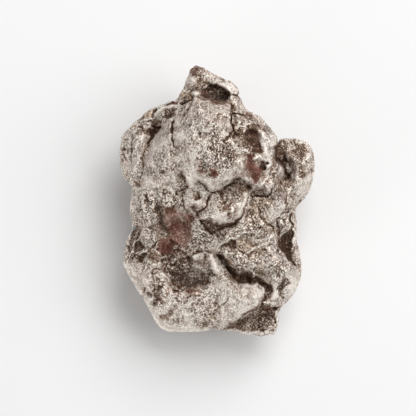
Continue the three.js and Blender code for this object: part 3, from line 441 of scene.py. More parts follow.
GREY = [
    # the floors of the horn's cavity and of the lower left hollow, and a streak beside the rust
    ([(-3.4, 23.6), (0.0, 24.4), (2.4, 23.6), (2.6, 22.4), (1.8, 21.9), (-2.4, 22.4)], 0.6, 0.3),
    ([(-11.0, -16.4), (-8.0, -15.4), (-2.4, -16.0), (-1.2, -16.6), (-2.6, -18.2), (-7.2, -18.9),
      (-9.8, -18.0)], 0.65, 0.4),
    ([(-13.7, -0.2), (-12.6, 0.0), (-10.3, -7.0), (-11.2, -7.2), (-13.3, -2.4)], 0.7, 0.3),
    # the two left lobes and the long lobe's left flank
    ([(-20.0, 15.6), (-18.4, 16.2), (-17.8, 14.8), (-15.6, 14.2), (-17.2, 4.6), (-19.2, 4.4)], 0.8, 0.5),
    ([(-12.2, 16.2), (-9.9, 17.4), (-10.2, 8.0), (-13.6, 4.2), (-16.4, 4.0), (-16.0, 10.0)], 0.75, 0.6),
    ([(-9.2, 19.8), (-7.4, 17.8), (-4.6, 21.4), (1.6, 21.2), (2.6, 19.4), (-1.0, 18.6), (-5.6, 14.4),
      (-8.4, 11.0), (-9.2, 13.0)], 0.6, 0.8),
    ([(-19.0, 3.0), (-17.0, 2.8), (-17.0, 0.4), (-18.6, -3.0), (-19.2, 0.0)], 0.7, 0.5),
    # the horn
    ([(-6.6, 27.4), (-4.0, 27.0), (-4.8, 25.6), (-6.8, 25.0)], 0.7, 0.5),
    ([(-2.4, 28.6), (3.4, 25.8), (4.6, 24.2), (4.2, 23.4), (0.6, 26.6), (-2.4, 27.8)], 0.7, 0.4),
    ([(3.2, 22.6), (4.9, 22.8), (6.3, 20.2), (5.4, 19.6), (4.2, 20.4)], 0.7, 0.4),
    # the right shoulder, and the lobes right of it
    ([(7.0, 19.6), (8.4, 19.3), (11.8, 15.6), (12.6, 13.8), (11.2, 5.4), (10.4, 5.6), (10.8, 8.0),
      (9.8, 13.4), (10.3, 15.0), (10.0, 16.8)], 0.85, 0.3),
    ([(12.2, 9.2), (13.4, 8.9), (14.5, 7.8), (14.6, 6.4), (14.0, 5.4), (12.4, 5.6)], 0.7, 0.3),
    ([(19.4, 12.6), (20.8, 12.0), (21.3, 9.0), (20.8, 4.6), (19.6, 1.8), (19.0, 4.0),
      (19.8, 8.0)], 0.6, 0.4),
    # the strip and the band of the right side
    ([(12.2, 1.0), (14.4, 3.6), (15.0, 0.2), (14.0, -2.6), (13.2, -3.0), (12.6, -5.4),
      (11.4, -2.4)], 0.75, 0.4),
    ([(10.8, -7.4), (12.2, -6.6), (13.9, -11.4), (17.6, -15.2), (17.4, -16.4), (15.6, -15.2), (14.2, -13.4),
      (12.6, -12.6), (11.6, -9.2), (10.6, -8.4)], 0.85, 0.35),
    ([(16.6, -2.2), (17.4, -3.0), (18.2, -13.0), (17.2, -14.0), (16.6, -10.0)], 0.6, 0.2),
    # the bar and the bottom tongue's top end
    ([(-2.1, -11.5), (-1.4, -11.5), (-0.4, -12.6), (0.2, -15.4), (0.8, -15.9), (-0.4, -16.0),
      (-1.8, -13.6)], 0.7, 0.25),
    ([(4.6, -18.0), (8.8, -17.9), (10.2, -19.4), (9.8, -20.8), (7.4, -21.0), (4.4, -19.6)], 0.6, 0.5),
    ([(2.0, 2.0), (4.6, 2.4), (5.6, 1.6), (5.4, 0.2), (3.0, -0.4), (2.2, 0.4)], 0.5, 0.5),
]

# Pale zones: partly the metal's own paler tone, partly painted light on faces that turn from the key light
PALE_AND_PAINTED_LIGHT = [
    # the slope's outer rim, a painted bright rim
    ([(-21.2, -12.4), (-13.0, -24.8), (-10.6, -27.0), (-1.6, -27.6), (-1.6, -29.0), (-11.6, -29.4),
      (-15.2, -25.0), (-19.0, -18.0)], 1.4, 0.4),
    # the long lobe's flank, and what lies left of it: painted light on faces turned from the key light
    ([(-9.6, 9.8), (-8.4, 10.6), (-4.6, 9.6), (-4.8, 7.4), (-1.6, 5.4), (0.6, 4.8), (-0.6, 2.4),
      (-4.2, 4.6), (-5.6, 2.8), (-9.0, 6.8)], 1.2, 0.6),
    ([(-18.6, 4.6), (-16.4, 5.4), (-13.4, 4.4), (-9.6, 7.0), (-8.4, 4.0), (-9.2, 2.4), (-13.0, 3.0),
      (-13.8, 0.6), (-15.2, 1.6), (-17.4, 2.0)], 1.0, 0.6),
    ([(-9.3, 17.4), (-8.0, 17.6), (-7.4, 14.0), (-8.0, 11.0), (-9.2, 12.4)], 1.0, 0.4),
    ([(-14.4, 13.6), (-12.8, 15.8), (-12.0, 15.0), (-13.6, 11.0), (-15.8, 8.4)], 0.7, 0.4),
    ([(0.2, 17.6), (2.6, 17.4), (2.6, 15.0), (1.6, 13.4), (0.6, 14.2)], 0.8, 0.4),
    ([(-17.0, -3.4), (-15.2, -3.2), (-15.0, -5.6), (-16.4, -6.4)], 0.9, 0.4),
    # the horn's arch
    ([(-3.2, 26.6), (-0.6, 26.8), (1.6, 25.8), (2.8, 24.6), (1.8, 24.6), (0.2, 25.8)], 1.0, 0.3),
    # the right shoulder, and the far right lobe
    ([(9.2, 14.6), (10.4, 14.8), (10.2, 11.2), (9.4, 12.6)], 1.2, 0.3),
    ([(15.0, 12.2), (16.4, 12.6), (17.0, 9.4), (18.2, 8.2), (17.6, 5.4), (16.4, 4.8),
      (15.0, 10.2)], 1.0, 0.4),
    ([(17.2, 3.4), (20.8, 6.8), (20.4, 3.2), (18.8, 0.8), (17.4, 1.0)], 1.2, 0.4),
    # the lower right shoulder
    ([(15.2, -14.6), (17.8, -15.2), (17.8, -17.6), (16.6, -20.4), (15.0, -22.2), (14.6, -21.2),
      (15.8, -18.0)], 1.2, 0.4),
    # the middle, and round the dark hollow of the lower left
    ([(3.6, -7.8), (10.6, -7.8), (10.4, -9.4), (8.4, -10.4), (4.2, -9.0)], 0.8, 0.5),
    ([(3.0, -5.6), (5.4, -3.6), (7.8, -4.2), (7.6, -6.2), (4.8, -6.8)], 0.5, 0.5),
    ([(-3.0, -9.2), (-0.6, -8.4), (0.6, -9.8), (-0.6, -11.2), (-2.4, -11.0)], 1.2, 0.4),
    ([(-5.6, -13.4), (-2.8, -13.6), (-2.4, -15.8), (-4.4, -16.2), (-5.8, -15.0)], 0.8, 0.5),
    ([(-12.8, -15.4), (-11.6, -16.0), (-10.2, -18.2), (-10.6, -19.2), (-12.0, -17.6)], 1.0, 0.3),
    # the pale slope's lower left, and the bottom tongue
    ([(-20.8, -13.0), (-18.0, -13.8), (-15.6, -15.4), (-14.6, -22.6), (-11.0, -23.2), (-6.0, -22.6),
      (-5.0, -27.6), (-11.6, -28.6), (-15.2, -24.4), (-19.0, -17.6)], 1.0, 0.8),
    ([(2.4, -18.6), (8.6, -18.6), (10.2, -20.0), (8.6, -22.6), (2.8, -27.0), (0.6, -27.4),
      (0.0, -24.0)], 0.9, 0.5),
    # the tongue's tip and rim, and the round lobe
    ([(-2.2, -3.0), (-0.4, -2.4), (4.2, -2.4), (6.6, 1.8), (7.0, 1.4), (5.8, -1.8), (4.4, -3.3),
      (0.6, -4.8)], 1.0, 0.3),
    ([(-7.0, 3.0), (-3.9, 3.4), (-2.3, 2.0), (-2.8, -1.0), (-5.5, -2.3), (-7.0, -1.5)], 0.8, 0.3),
    # the long lobe's lower edge and foot, and the right shoulder's lower end
    ([(-6.4, 8.4), (-5.0, 7.2), (-4.6, 5.6), (1.0, 5.0), (3.4, 5.6), (3.2, 4.6), (-0.6, 2.3), (-4.0, 4.4),
      (-5.6, 2.8), (-6.8, 4.4)], 0.8, 0.4),
    ([(8.0, 9.8), (10.4, 10.4), (11.6, 10.0), (11.0, 5.4), (9.6, 3.7), (8.2, 3.9), (10.2, 6.0), (10.8, 8.4),
      (10.0, 9.2), (8.2, 9.0)], 0.9, 0.25),
    ([(3.8, 9.2), (6.0, 9.6), (6.2, 7.6), (7.6, 6.0), (6.4, 4.8), (4.8, 5.4), (3.8, 6.8)], 0.5, 0.4),
    # the outer edges
    ([(15.0, -22.2), (17.6, -18.0), (17.4, -16.8), (15.8, -17.6), (15.6, -19.4), (14.6, -21.0)], 0.8, 0.4),
    ([(11.8, -17.8), (12.8, -18.0), (13.8, -21.6), (12.8, -22.4), (10.8, -22.3), (12.2, -20.0)], 0.8, 0.3),
    ([(-21.4, 9.0), (-20.0, 8.6), (-19.6, 5.4), (-21.0, 5.8)], 0.7, 0.4),
    ([(17.0, 4.0), (19.4, 4.6), (19.2, 2.4), (17.6, 2.0)], 0.5, 0.4),
]

# Where dark flecks crowd together, as they do in spalled metal
FLECKS = [
    ([(-1.6, 17.4), (0.2, 17.8), (1.2, 12.4), (3.2, 11.8), (3.6, 9.6), (2.6, 8.0), (0.6, 7.0), (-1.5, 7.6),
      (-4.4, 7.4), (-4.6, 9.2), (-1.9, 13.2)], 1.0, 0.9),
    ([(1.8, 12.0), (2.8, 12.2), (3.4, 11.0), (3.2, 8.8), (2.4, 8.8), (2.3, 10.2), (1.4, 11.0)], 2.2, 0.3),
    ([(-9.4, 9.2), (-6.0, 9.6), (-6.6, 6.8), (-8.8, 6.4)], 0.5, 0.8),
    ([(-16.4, 2.8), (-8.0, 2.6), (-8.0, -1.2), (-13.0, 0.2), (-14.2, -6.4), (-17.4, -4.4)], 0.5, 0.8),
    ([(1.5, -10.6), (8.0, -13.4), (7.0, -15.6), (4.5, -14.4), (2.0, -12.0)], 0.8, 0.5),
    ([(-5.4, -4.6), (-3.6, -5.2), (0.4, -10.0), (-2.6, -10.6), (-5.2, -8.0)], 0.9, 0.5),
    ([(3.0, -7.8), (4.8, -4.4), (8.0, -3.4), (10.2, -5.0), (10.6, -7.2)], 0.6, 0.6),
    ([(10.8, -14.0), (14.2, -14.2), (15.2, -15.8), (12.6, -16.8), (10.8, -16.0)], 0.7, 0.5),
    ([(-13.0, -12.4), (-6.4, -12.4), (-5.8, -16.2), (-10.0, -16.4), (-12.0, -14.8)], 0.8, 0.5),
    ([(-10.0, -21.0), (-1.0, -19.6), (-1.0, -25.4), (-8.0, -23.0)], 0.3, 0.8),
    ([(9.4, -24.0), (12.8, -24.6), (13.2, -28.2), (9.0, -28.0)], 0.8, 0.5),
    ([(-18.6, -11.4), (-17.2, -12.0), (-17.8, -13.2), (-20.0, -12.6)], 0.8, 0.4),
    ([(3.3, 18.2), (6.4, 17.6), (6.2, 14.6), (3.3, 14.8)], 0.6, 0.5),
    ([(14.0, 13.0), (17.6, 12.4), (18.8, 8.0), (16.4, 6.4), (15.8, 10.4)], 0.5, 0.5),
]

# Round patches paler than the metal round them, or darker below zero, partly the metal's own tone and
# partly painted light and painted shade: X, Y, radius, amount
PATCHES = [
    # the horn and its feet
    (-4.4, 24.6, 1.0, -0.36), (-5.2, 26.3, 1.3, 0.24), (-4.4, 28.8, 1.4, -0.26), (-6.2, 22.8, 1.0, -0.3),
    (0.6, 26.4, 1.2, -0.3), (-1.6, 28.0, 1.2, -0.14), (0.8, 24.7, 1.1, 0.36),
    (4.2, 22.6, 0.9, -0.26), (2.6, 20.6, 0.8, -0.26), (6.4, 18.9, 0.9, -0.24), (3.4, 18.6, 1.0, -0.34),
    (0.6, 17.7, 1.1, -0.26), (-2.5, 22.9, 1.0, -0.32), (-0.6, 21.4, 1.0, -0.16), (-4.1, 20.6, 1.0, -0.24),
    # the upper left
    (-13.0, 18.4, 1.2, 0.36), (-12.0, 20.0, 1.1, 0.44), (-9.0, 21.6, 1.0, 0.22), (-16.7, 15.4, 0.9, -0.34),
    (-17.0, 18.6, 1.0, -0.14), (-17.4, 17.1, 0.7, 0.24), (-13.0, 12.6, 1.8, 0.26), (-15.0, 9.8, 1.4, 0.16),
    (-14.2, 8.2, 1.1, 0.24), (-16.6, 7.2, 1.2, 0.3), (-15.0, 6.9, 1.0, -0.26), (-11.8, 6.3, 0.9, -0.32),
    (-9.7, 15.4, 0.9, -0.34), (-13.5, 1.8, 1.4, 0.6), (-15.2, 3.1, 1.0, 0.34), (-10.2, 2.9, 1.2, 0.24),
    (-9.5, 0.3, 1.1, 0.24), (-8.2, 8.6, 1.6, 0.2), (-7.8, 14.0, 1.3, 0.24), (-18.6, 3.6, 1.4, 0.16),
    (-19.8, 8.8, 1.0, 0.16),
    # the long lobe and the round lobe
    (-4.2, 15.8, 1.3, 0.2), (-4.2, 10.4, 2.0, 0.26), (1.4, 14.2, 1.2, 0.34), (2.6, 12.4, 1.1, 0.4),
    (4.4, 11.0, 1.0, 0.2), (3.4, 9.5, 0.9, -0.36), (1.8, 10.9, 1.2, -0.3), (0.0, 10.2, 1.0, -0.22),
    (-4.0, 8.3, 0.7, -0.14), (-2.6, 7.9, 0.8, 0.2), (-3.7, 6.2, 1.0, -0.34), (-1.0, 5.6, 1.2, -0.4),
    (-4.2, 4.5, 1.3, 0.4), (-2.6, 2.6, 1.3, 0.36), (2.4, 6.0, 1.5, 0.24), (-1.8, -0.2, 1.3, 0.34),
    (-2.6, -4.4, 0.9, 0.16), (-7.0, 1.2, 1.2, 0.18), (-6.8, 4.2, 1.1, 0.26), (-5.2, -3.4, 0.9, -0.28),
    # the right shoulder and what is under it
    (3.2, 14.2, 1.0, -0.26), (5.8, 12.2, 1.4, -0.4), (9.0, 13.8, 1.1, 0.5), (12.3, 12.4, 0.8, 0.3),
    (7.6, 10.3, 1.1, -0.4), (10.5, 8.7, 0.9, 0.36), (10.1, 15.7, 1.0, -0.3), (10.4, 6.6, 1.0, -0.26),
    (9.5, 4.9, 0.9, -0.26), (5.8, 4.4, 1.2, 0.5), (7.8, 3.2, 1.0, 0.32), (6.7, 5.7, 0.8, -0.22),
    (6.6, 14.2, 0.9, -0.26), (11.1, 1.7, 1.0, 0.24), (8.6, 17.2, 1.0, -0.14), (4.8, 17.4, 0.8, -0.2),
    (2.6, 1.8, 1.0, 0.34), (5.8, 2.6, 0.8, -0.2), (4.9, 1.2, 1.1, -0.16), (2.0, -2.2, 1.2, -0.2),
    # the far right lobe
    (12.7, 8.7, 1.1, -0.34), (13.0, 11.4, 0.9, -0.26), (12.4, 6.4, 0.9, -0.26), (12.5, 4.4, 0.9, -0.28),
    (16.4, 6.6, 1.2, 0.36), (16.3, 10.6, 1.1, -0.4), (17.9, 9.2, 1.1, -0.34), (16.6, 13.4, 0.9, -0.2),
    (18.6, 6.2, 1.1, -0.36), (17.2, 3.9, 1.0, -0.16), (12.9, 2.4, 1.2, -0.16), (14.6, 1.1, 1.0, -0.2),
    (17.4, 1.2, 1.2, 0.18), (17.0, -1.5, 0.9, 0.34), (20.8, 5.4, 1.0, 0.16),
    # the middle
    (5.8, -2.6, 1.2, -0.16), (1.1, -7.2, 1.1, -0.22), (-4.5, -5.8, 1.4, 0.18), (-1.0, -9.0, 1.4, 0.4),
    (-3.2, -10.2, 1.0, 0.14), (4.6, -6.4, 1.1, 0.26), (8.4, -8.0, 1.6, 0.16), (10.6, -7.8, 1.0, 0.22),
    (12.7, -3.0, 1.8, 0.3), (5.6, -4.7, 1.1, 0.2), (11.0, -5.8, 1.0, -0.26), (7.5, -5.9, 1.0, -0.2),
    (3.1, -11.4, 1.0, -0.34), (5.8, -13.3, 1.0, -0.22), (7.0, -11.4, 1.0, -0.14), (0.9, -10.3, 0.8, -0.14),
    (2.9, -3.2, 0.8, -0.2),
    # the rusty dish and the left edge
    (-12.4, -1.0, 1.2, -0.4), (-9.2, -2.0, 0.8, -0.34), (-14.0, -2.2, 0.8, -0.14),
    (-10.4, -2.6, 1.0, -0.14), (-8.2, -2.9, 1.5, 0.4), (-7.2, -7.0, 1.6, 0.16), (-12.1, -3.8, 0.9, -0.3),
    (-12.9, -6.9, 1.0, 0.3), (-10.6, -5.5, 1.0, 0.2), (-5.0, -5.4, 1.0, 0.2), (-18.0, -8.2, 1.2, 0.22),
    (-15.4, -9.2, 1.0, 0.16), (-14.2, -12.4, 1.4, -0.26), (-18.4, -12.8, 1.2, -0.26),
    (-19.9, -13.8, 0.9, 0.2), (-15.2, 0.8, 1.0, -0.3), (-18.0, 0.8, 0.9, 0.16), (-19.4, -1.2, 1.2, 0.34),
    # the hollow of the lower left, and round it
    (-11.6, -13.6, 1.1, 0.4), (-10.2, -16.2, 1.0, 0.3), (-9.4, -10.2, 1.2, -0.26),
    (-7.0, -13.2, 1.0, -0.26), (-4.6, -15.3, 1.5, 0.4), (-3.8, -13.2, 0.8, -0.3), (-1.9, -15.0, 1.4, 0.36),
    (0.9, -13.4, 1.3, 0.4), (-1.2, -17.6, 1.2, 0.26),
    # the pale slope and the bottom tongue
    (-13.2, -15.2, 0.9, -0.3), (-13.2, -19.4, 1.1, -0.26), (-13.2, -21.6, 0.8, -0.18),
    (-6.6, -19.8, 1.2, -0.26), (-4.3, -19.8, 1.0, -0.24), (-9.0, -20.6, 0.9, -0.2),
    (-15.2, -16.6, 1.0, 0.18), (0.6, -18.6, 1.8, 0.36), (-2.2, -21.0, 1.3, 0.34), (-5.4, -21.2, 1.2, 0.36),
    (-3.3, -23.9, 1.0, 0.3), (-10.2, -22.0, 1.4, 0.26), (-7.0, -23.8, 1.2, 0.2), (-5.8, -26.6, 2.4, 0.16),
    (4.2, -19.4, 1.0, -0.16), (6.0, -18.2, 1.2, 0.18), (3.0, -18.2, 0.8, -0.26), (8.0, -21.4, 1.0, 0.18),
    (5.8, -24.2, 1.6, 0.26), (7.4, -19.9, 1.4, -0.3),
    # the lower right
    (11.2, -16.0, 1.2, 0.34), (9.2, -19.6, 1.4, 0.3), (11.4, -20.2, 1.1, 0.36), (16.4, -18.8, 1.4, 0.26),
    (15.5, -17.4, 0.9, 0.34), (14.6, -21.4, 1.0, 0.14), (7.0, -15.2, 1.0, 0.2), (11.0, -13.4, 1.0, 0.16),
    (11.3, -11.4, 1.0, -0.22), (13.6, -14.4, 1.2, -0.34), (14.0, -10.2, 1.4, -0.34),
    (16.4, -15.3, 1.1, -0.26), (17.2, -10.0, 0.9, -0.34), (16.4, -3.8, 0.8, -0.34), (9.8, -24.0, 1.1, -0.3),
    (12.8, -22.7, 0.9, -0.22), (7.0, -27.0, 1.1, 0.28), (12.0, -25.8, 1.0, 0.3), (11.8, -28.4, 0.9, -0.2),
]

# ---------------------------------------------------------------------------
# The grid, and fields on it
# ---------------------------------------------------------------------------

GRID_FIRST = np.floor((np.array(cad_low) / MM - MARGIN) / VOXEL).astype(int)
GRID_LAST = np.ceil((np.array(cad_high) / MM + MARGIN) / VOXEL).astype(int)
SHAPE = tuple(int(n) for n in (GRID_LAST - GRID_FIRST + GRID_STEP) // GRID_STEP * GRID_STEP)
AXES = [(first + np.arange(count)) * VOXEL for first, count in zip(GRID_FIRST, SHAPE)]
PLAN_X, PLAN_Y = np.meshgrid(AXES[0], AXES[1], indexing="ij")
HEIGHT = AXES[2].astype(np.float32)


def smoothstep(value, low, high):
    """0 below low, 1 above high, and smooth between them."""
    t = np.clip((value - low) / (high - low), 0.0, 1.0)
    return t * t * (3.0 - 2.0 * t)


def blurred(field, radius):
    """A field on the grid or the plan, softened by a bell of a radius in mm."""
    spectrum = np.fft.rfftn(field)
    last = field.ndim - 1
    for axis, count in enumerate(field.shape):
        frequencies = np.fft.rfftfreq if axis == last else np.fft.fftfreq
        falloff = np.exp(-2.0 * (math.pi * radius * frequencies(count, VOXEL)) ** 2)
        spectrum *= falloff.reshape([-1 if a == axis else 1 for a in range(field.ndim)])
    return np.fft.irfftn(spectrum, field.shape).astype(np.float32)


def cloud(shape, size, seed):
    """Smooth random values, mean 0 and deviation 1, in lumps of about a size in mm."""
    noise = np.random.default_rng(seed).standard_normal(shape)
    field = blurred(noise, size / 3.0)
    return field / field.std()


def cad_field():
    """Distance in mm from the CAD solid's surface, below zero inside."""
    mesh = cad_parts[NODE].data
    mesh.calc_loop_triangles()
    points = np.empty(len(mesh.vertices) * 3, np.float32)
    mesh.vertices.foreach_get("co", points)
    triangles = np.empty(len(mesh.loop_triangles) * 3, np.uint32)
    mesh.loop_triangles.foreach_get("vertices", triangles)
    grid = openvdb.FloatGrid.createLevelSetFromPolygons(
        points.reshape(-1, 3) / MM,
        triangles=triangles.reshape(-1, 3),
        transform=openvdb.createLinearTransform(voxelSize=VOXEL),
        halfWidth=BAND / VOXEL,
    )
    field = np.empty(SHAPE, np.float32)
    grid.copyToArray(field, ijk=tuple(int(n) for n in GRID_FIRST))
    return field


# ---------------------------------------------------------------------------
# Drawing in plan
# ---------------------------------------------------------------------------


def wandering(places, first_seed):
    """Places on one axis of the plan, pushed about by noise."""
    return places + sum(
        push * cloud(SHAPE[:2], size, seed) for seed, (push, size) in enumerate(WANDERS, first_seed)
    )


DRAWN_X = wandering(PLAN_X, first_seed=1)
DRAWN_Y = wandering(PLAN_Y, first_seed=5)


def window(points, margin):
    """The slices of the plan that lie within a margin of some points."""
    low = np.min(points, axis=0) - margin
    high = np.max(points, axis=0) + margin
    return tuple(slice(*np.searchsorted(AXES[a], (low[a], high[a]))) for a in (0, 1))


def distance_to(path, x, y):
    """Distance from each point to a path, and how far along the path its nearest point is."""
    best = np.full(x.shape, np.inf)
    along = np.zeros(x.shape)
    steps = len(path) - 1
    for i, ((ax, ay), (bx, by)) in enumerate(zip(path[:-1], path[1:])):
        dx, dy = bx - ax, by - ay
        t = np.clip(((x - ax) * dx + (y - ay) * dy) / (dx * dx + dy * dy), 0.0, 1.0)
        distance = np.hypot(x - ax - t * dx, y - ay - t * dy)
        nearer = distance < best
        best = np.where(nearer, distance, best)
        along = np.where(nearer, (i + t) / steps, along)
    return best, along


def inside(outline, x, y):
    """True at each point within an outline."""
    result = np.zeros(x.shape, bool)
    for (ax, ay), (bx, by) in zip(outline, outline[1:] + outline[:1]):
        if ay == by:
            continue
        crosses = (ay > y) != (by > y)
        result ^= crosses & (x < (bx - ax) * (y - ay) / (by - ay) + ax)
    return result


def stroke(path, width):
    """Where a path's neighbourhood is in the plan, and a bell across it, faded at its ends."""
    part = window(path, STROKE_REACH * width + WANDER_ROOM)
    distance, along = distance_to(path, DRAWN_X[part], DRAWN_Y[part])
    fade = np.minimum(1.0, STROKE_END + STROKE_TAPER * np.minimum(along, 1.0 - along))
    return part, fade * np.exp(-((distance / width) ** 2))


def spot(middle, radius):
    """Where a spot's neighbourhood is in the plan, and a bell round its middle."""
    part = window([middle], SPOT_REACH * radius + WANDER_ROOM)
    distance = np.hypot(DRAWN_X[part] - middle[0], DRAWN_Y[part] - middle[1])
    return part, np.exp(-((distance / radius) ** 3))


def area(outline, spread):
    """Where an outline's neighbourhood is in the plan, and 1 inside it fading to 0 outside."""
    part = window(outline, spread + WANDER_ROOM)
    x, y = DRAWN_X[part], DRAWN_Y[part]
    distance, _ = distance_to(outline + outline[:1], x, y)
    signed = np.where(inside(outline, x, y), distance, -distance)
    return part, smoothstep(signed, -spread, spread)


def empty_plan():
    """A plan that is 0 everywhere."""
    return np.zeros(PLAN_X.shape)


def add_mark(plan, mark, amount):
    """Adds a stroke, a spot or an area to a plan, times an amount."""
    part, share = mark
    plan[part] += amount * share


def raise_to(plan, mark, amount):
    """Raises a plan to a stroke, a spot or an area times an amount, where it is below that."""
    part, share = mark
    plan[part] = np.maximum(plan[part], amount * share)


def draw_relief():
    """How far each plan point is sunk, in mm."""
    plan = empty_plan()
    for outline, depth, _, spread in HOLLOWS:
        add_mark(plan, area(outline, spread), depth)
    for path, width, depth, _ in CREASES:
        add_mark(plan, stroke(path, width), depth)
    for middle, radius, depth, _ in PITS:
        add_mark(plan, spot(middle, radius), depth)
    for path, width, height in RIDGES:
        add_mark(plan, stroke(path, width), -height)
    return plan


def draw_tint(tint):
    """How strong a tint is at each plan point."""
    plan = empty_plan()
    for outline, strength, spread in tint:
        raise_to(plan, area(outline, spread), strength)
    return plan


def draw_dirt_and_shade():
    """How dark each plan point is with dirt and painted shade."""
    plan = draw_tint(STAINS_AND_SHADE)
    for outline, _, dirt_and_shade, spread in HOLLOWS:
        raise_to(plan, area(outline, spread / 2.0), dirt_and_shade)
    for path, width, _, dirt_and_shade in CREASES:
        raise_to(plan, stroke(path, width), dirt_and_shade)
    for middle, radius, _, dirt_and_shade in PITS:
        raise_to(plan, spot(middle, radius), dirt_and_shade)
    return plan


def draw_worn():
    """How brightly worn each plan point is by the ridges."""
    plan = empty_plan()
    for path, width, _ in RIDGES:
        raise_to(plan, stroke(path, width), 1.0)
    return plan


def draw_patches():
    """How much paler each plan point is for the round patches, partly painted light and painted shade."""
    plan = empty_plan()
    for x, y, radius, amount in PATCHES:
        add_mark(plan, spot((x, y), radius), amount)
    return plan


# ---------------------------------------------------------------------------
# Sculpting
# ---------------------------------------------------------------------------


def upper_side(field):
    """1 near the stone's top surface in each column of the grid, 0 well below it or under ledges."""
    solid = field < 0.0
    highest = HEIGHT[SHAPE[2] - 1 - np.argmax(solid[:, :, ::-1], axis=2)]
    highest = np.where(solid.any(axis=2), highest, 0.0)
    depth = blurred(highest, UPPER_BLUR)[:, :, None] - HEIGHT
    near_top = 1.0 - smoothstep(depth, UPPER_DEPTH - UPPER_FADE, UPPER_DEPTH)
    rise = np.gradient(field, VOXEL, axis=2)
    return (near_top * smoothstep(rise, TURNED_UNDER, TURNED_OUT)).astype(np.float32)


def reach(field):
    """How far the skin may move in each column: little where the stone is thin there."""
    thickness = VOXEL * (field < 0.0).sum(axis=2)
    return np.minimum(DEEPEST, THINNING * blurred(thickness, THICKNESS_BLUR))[:, :, None]


def scoops(size, seed):
    """Rounded scoops that meet in sharp edges, where it is 0."""
    return np.abs(cloud(SHAPE, size, seed))


def dimples(size, seed):
    """Scattered round dimples, 0 between them."""
    return np.maximum(cloud(SHAPE, size, seed) - DIMPLE_RARITY, 0.0)


def blotches(seed):
    """Blotches scattered all through the grid: 1 in their middles, 0 between them."""
    return smoothstep(cloud(SHAPE, BLOTCH_SIZE, seed), *BLOTCH_EDGE)


def on_grid(plan):
    """A plan as a field that is the same at every height."""
    return plan.astype(np.float32)[:, :, None]


def sculpted_field():
    """The finished stone's distance field, and how much of it is the upper side."""
    cad = blurred(cad_field(), SOFTENING)
    upper = upper_side(cad)
    below = 1.0 - upper
    smooth = np.minimum(draw_tint(GREY) + PALE_SMOOTHING * draw_tint(PALE_AND_PAINTED_LIGHT) + draw_tint(RUST), 1.0)
    rough = 1.0 - TINT_SMOOTHING * on_grid(smooth)
    crowd = on_grid(np.minimum(draw_tint(FLECKS), 1.0))
    relief = on_grid(draw_relief()) * upper
    relief += (SCOOP_DEPTH * upper * rough + SCOOP_DEPTH_BELOW * below) * scoops(SCOOP_SIZE, seed=11)
    relief += BROAD_SCOOP_DEPTH_BELOW * below * scoops(BROAD_SCOOP_SIZE, seed=15)
    relief += SMALL_SCOOP_DEPTH * rough * scoops(SMALL_SCOOP_SIZE, seed=12)
    relief += GRAIN_DEPTH * rough * (1.0 + crowd) * cloud(SHAPE, GRAIN_SIZE, seed=13)
    relief += DIMPLE_DEPTH * (rough + crowd) * dimples(DIMPLE_SIZE, seed=14)
    relief -= SWELLING + SWELLING_BELOW * below
    limit = reach(cad)
    above_feet = smoothstep(HEIGHT, FEET_BARE, FEET_SCULPTED).astype(np.float32)
    field = cad + np.clip(relief, -limit, limit) * above_feet
    return np.maximum(field, -HEIGHT), upper


def hollowness(field, radius):
    """How shut in each point is: about 0 on a flat, above it in hollows, below it on edges."""
    fill = np.clip(0.5 - field / VOXEL, 0.0, 1.0)
    return 2.0 * (blurred(fill, radius) - 0.5)


# ---------------------------------------------------------------------------
# The mesh
# ---------------------------------------------------------------------------


def add_object(name, data):
    """A new object in the scene."""
    made = bpy.data.objects.new(name, data)
    bpy.context.scene.collection.objects.link(made)
    return made


def surface_of(field):
    """Points in mm and four-sided faces of a field's surface."""
    grid = openvdb.FloatGrid(BAND)
    grid.copyFromArray(field, ijk=tuple(int(n) for n in GRID_FIRST))
    grid.transform = openvdb.createLinearTransform(voxelSize=VOXEL)
    return grid.convertToQuads(isovalue=0.0)


def largest_part(points, quads):
    """The points and faces of the largest connected part."""
    label = np.arange(len(points))
    while True:
        lowest = label[quads].min(axis=1)
        lower = label.copy()
        for corner in range(4):
            np.minimum.at(lower, quads[:, corner], lowest)
        lower = lower[lower]
        if np.array_equal(lower, label):
            break
        label = lower
    kept = label == np.bincount(label).argmax()
    renumbered = np.cumsum(kept) - 1
    return points[kept], renumbered[quads[kept[quads[:, 0]]]]


def decimated(points, quads, limit):
    """A mesh in mm, brought down to a number of triangles."""
    mesh = bpy.data.meshes.new("meteorite_skin")
    mesh.from_pydata(points, [], quads)
    piece = add_object("decimating", mesh)
    modifier = piece.modifiers.new("fewer triangles", "DECIMATE")
    modifier.ratio = min(1.0, limit / (2.0 * len(mesh.polygons)))
    graph = bpy.context.evaluated_depsgraph_get()
    result = bpy.data.meshes.new_from_object(piece.evaluated_get(graph))
    bpy.data.objects.remove(piece)
    return result


def mesh_points(mesh):
    """A mesh's vertices, one in each row."""
    points = np.empty(len(mesh.vertices) * 3, np.float32)
    mesh.vertices.foreach_get("co", points)
    return points.reshape(-1, 3)


def sampled(field, points):
    """A grid field, or a plan stretched through all heights, at points in mm."""
    if field.ndim == 2:
        field = np.broadcast_to(field[:, :, None], SHAPE)
    place = points / VOXEL - GRID_FIRST
    base = np.clip(place.astype(int), 0, np.array(SHAPE) - 2)
    part = np.clip(place - base, 0.0, 1.0)
    total = np.zeros(len(points))
    for corner in np.ndindex(2, 2, 2):
        weight = np.prod(np.where(corner, part, 1.0 - part), axis=1)
        total += weight * field[tuple((base + corner).T)]
    return total


def add_values(mesh, name, values):
    """Stores a number on each vertex, for the material to read."""
    mesh.attributes.new(name, "FLOAT", "POINT").data.foreach_set("value", values.astype(np.float32))


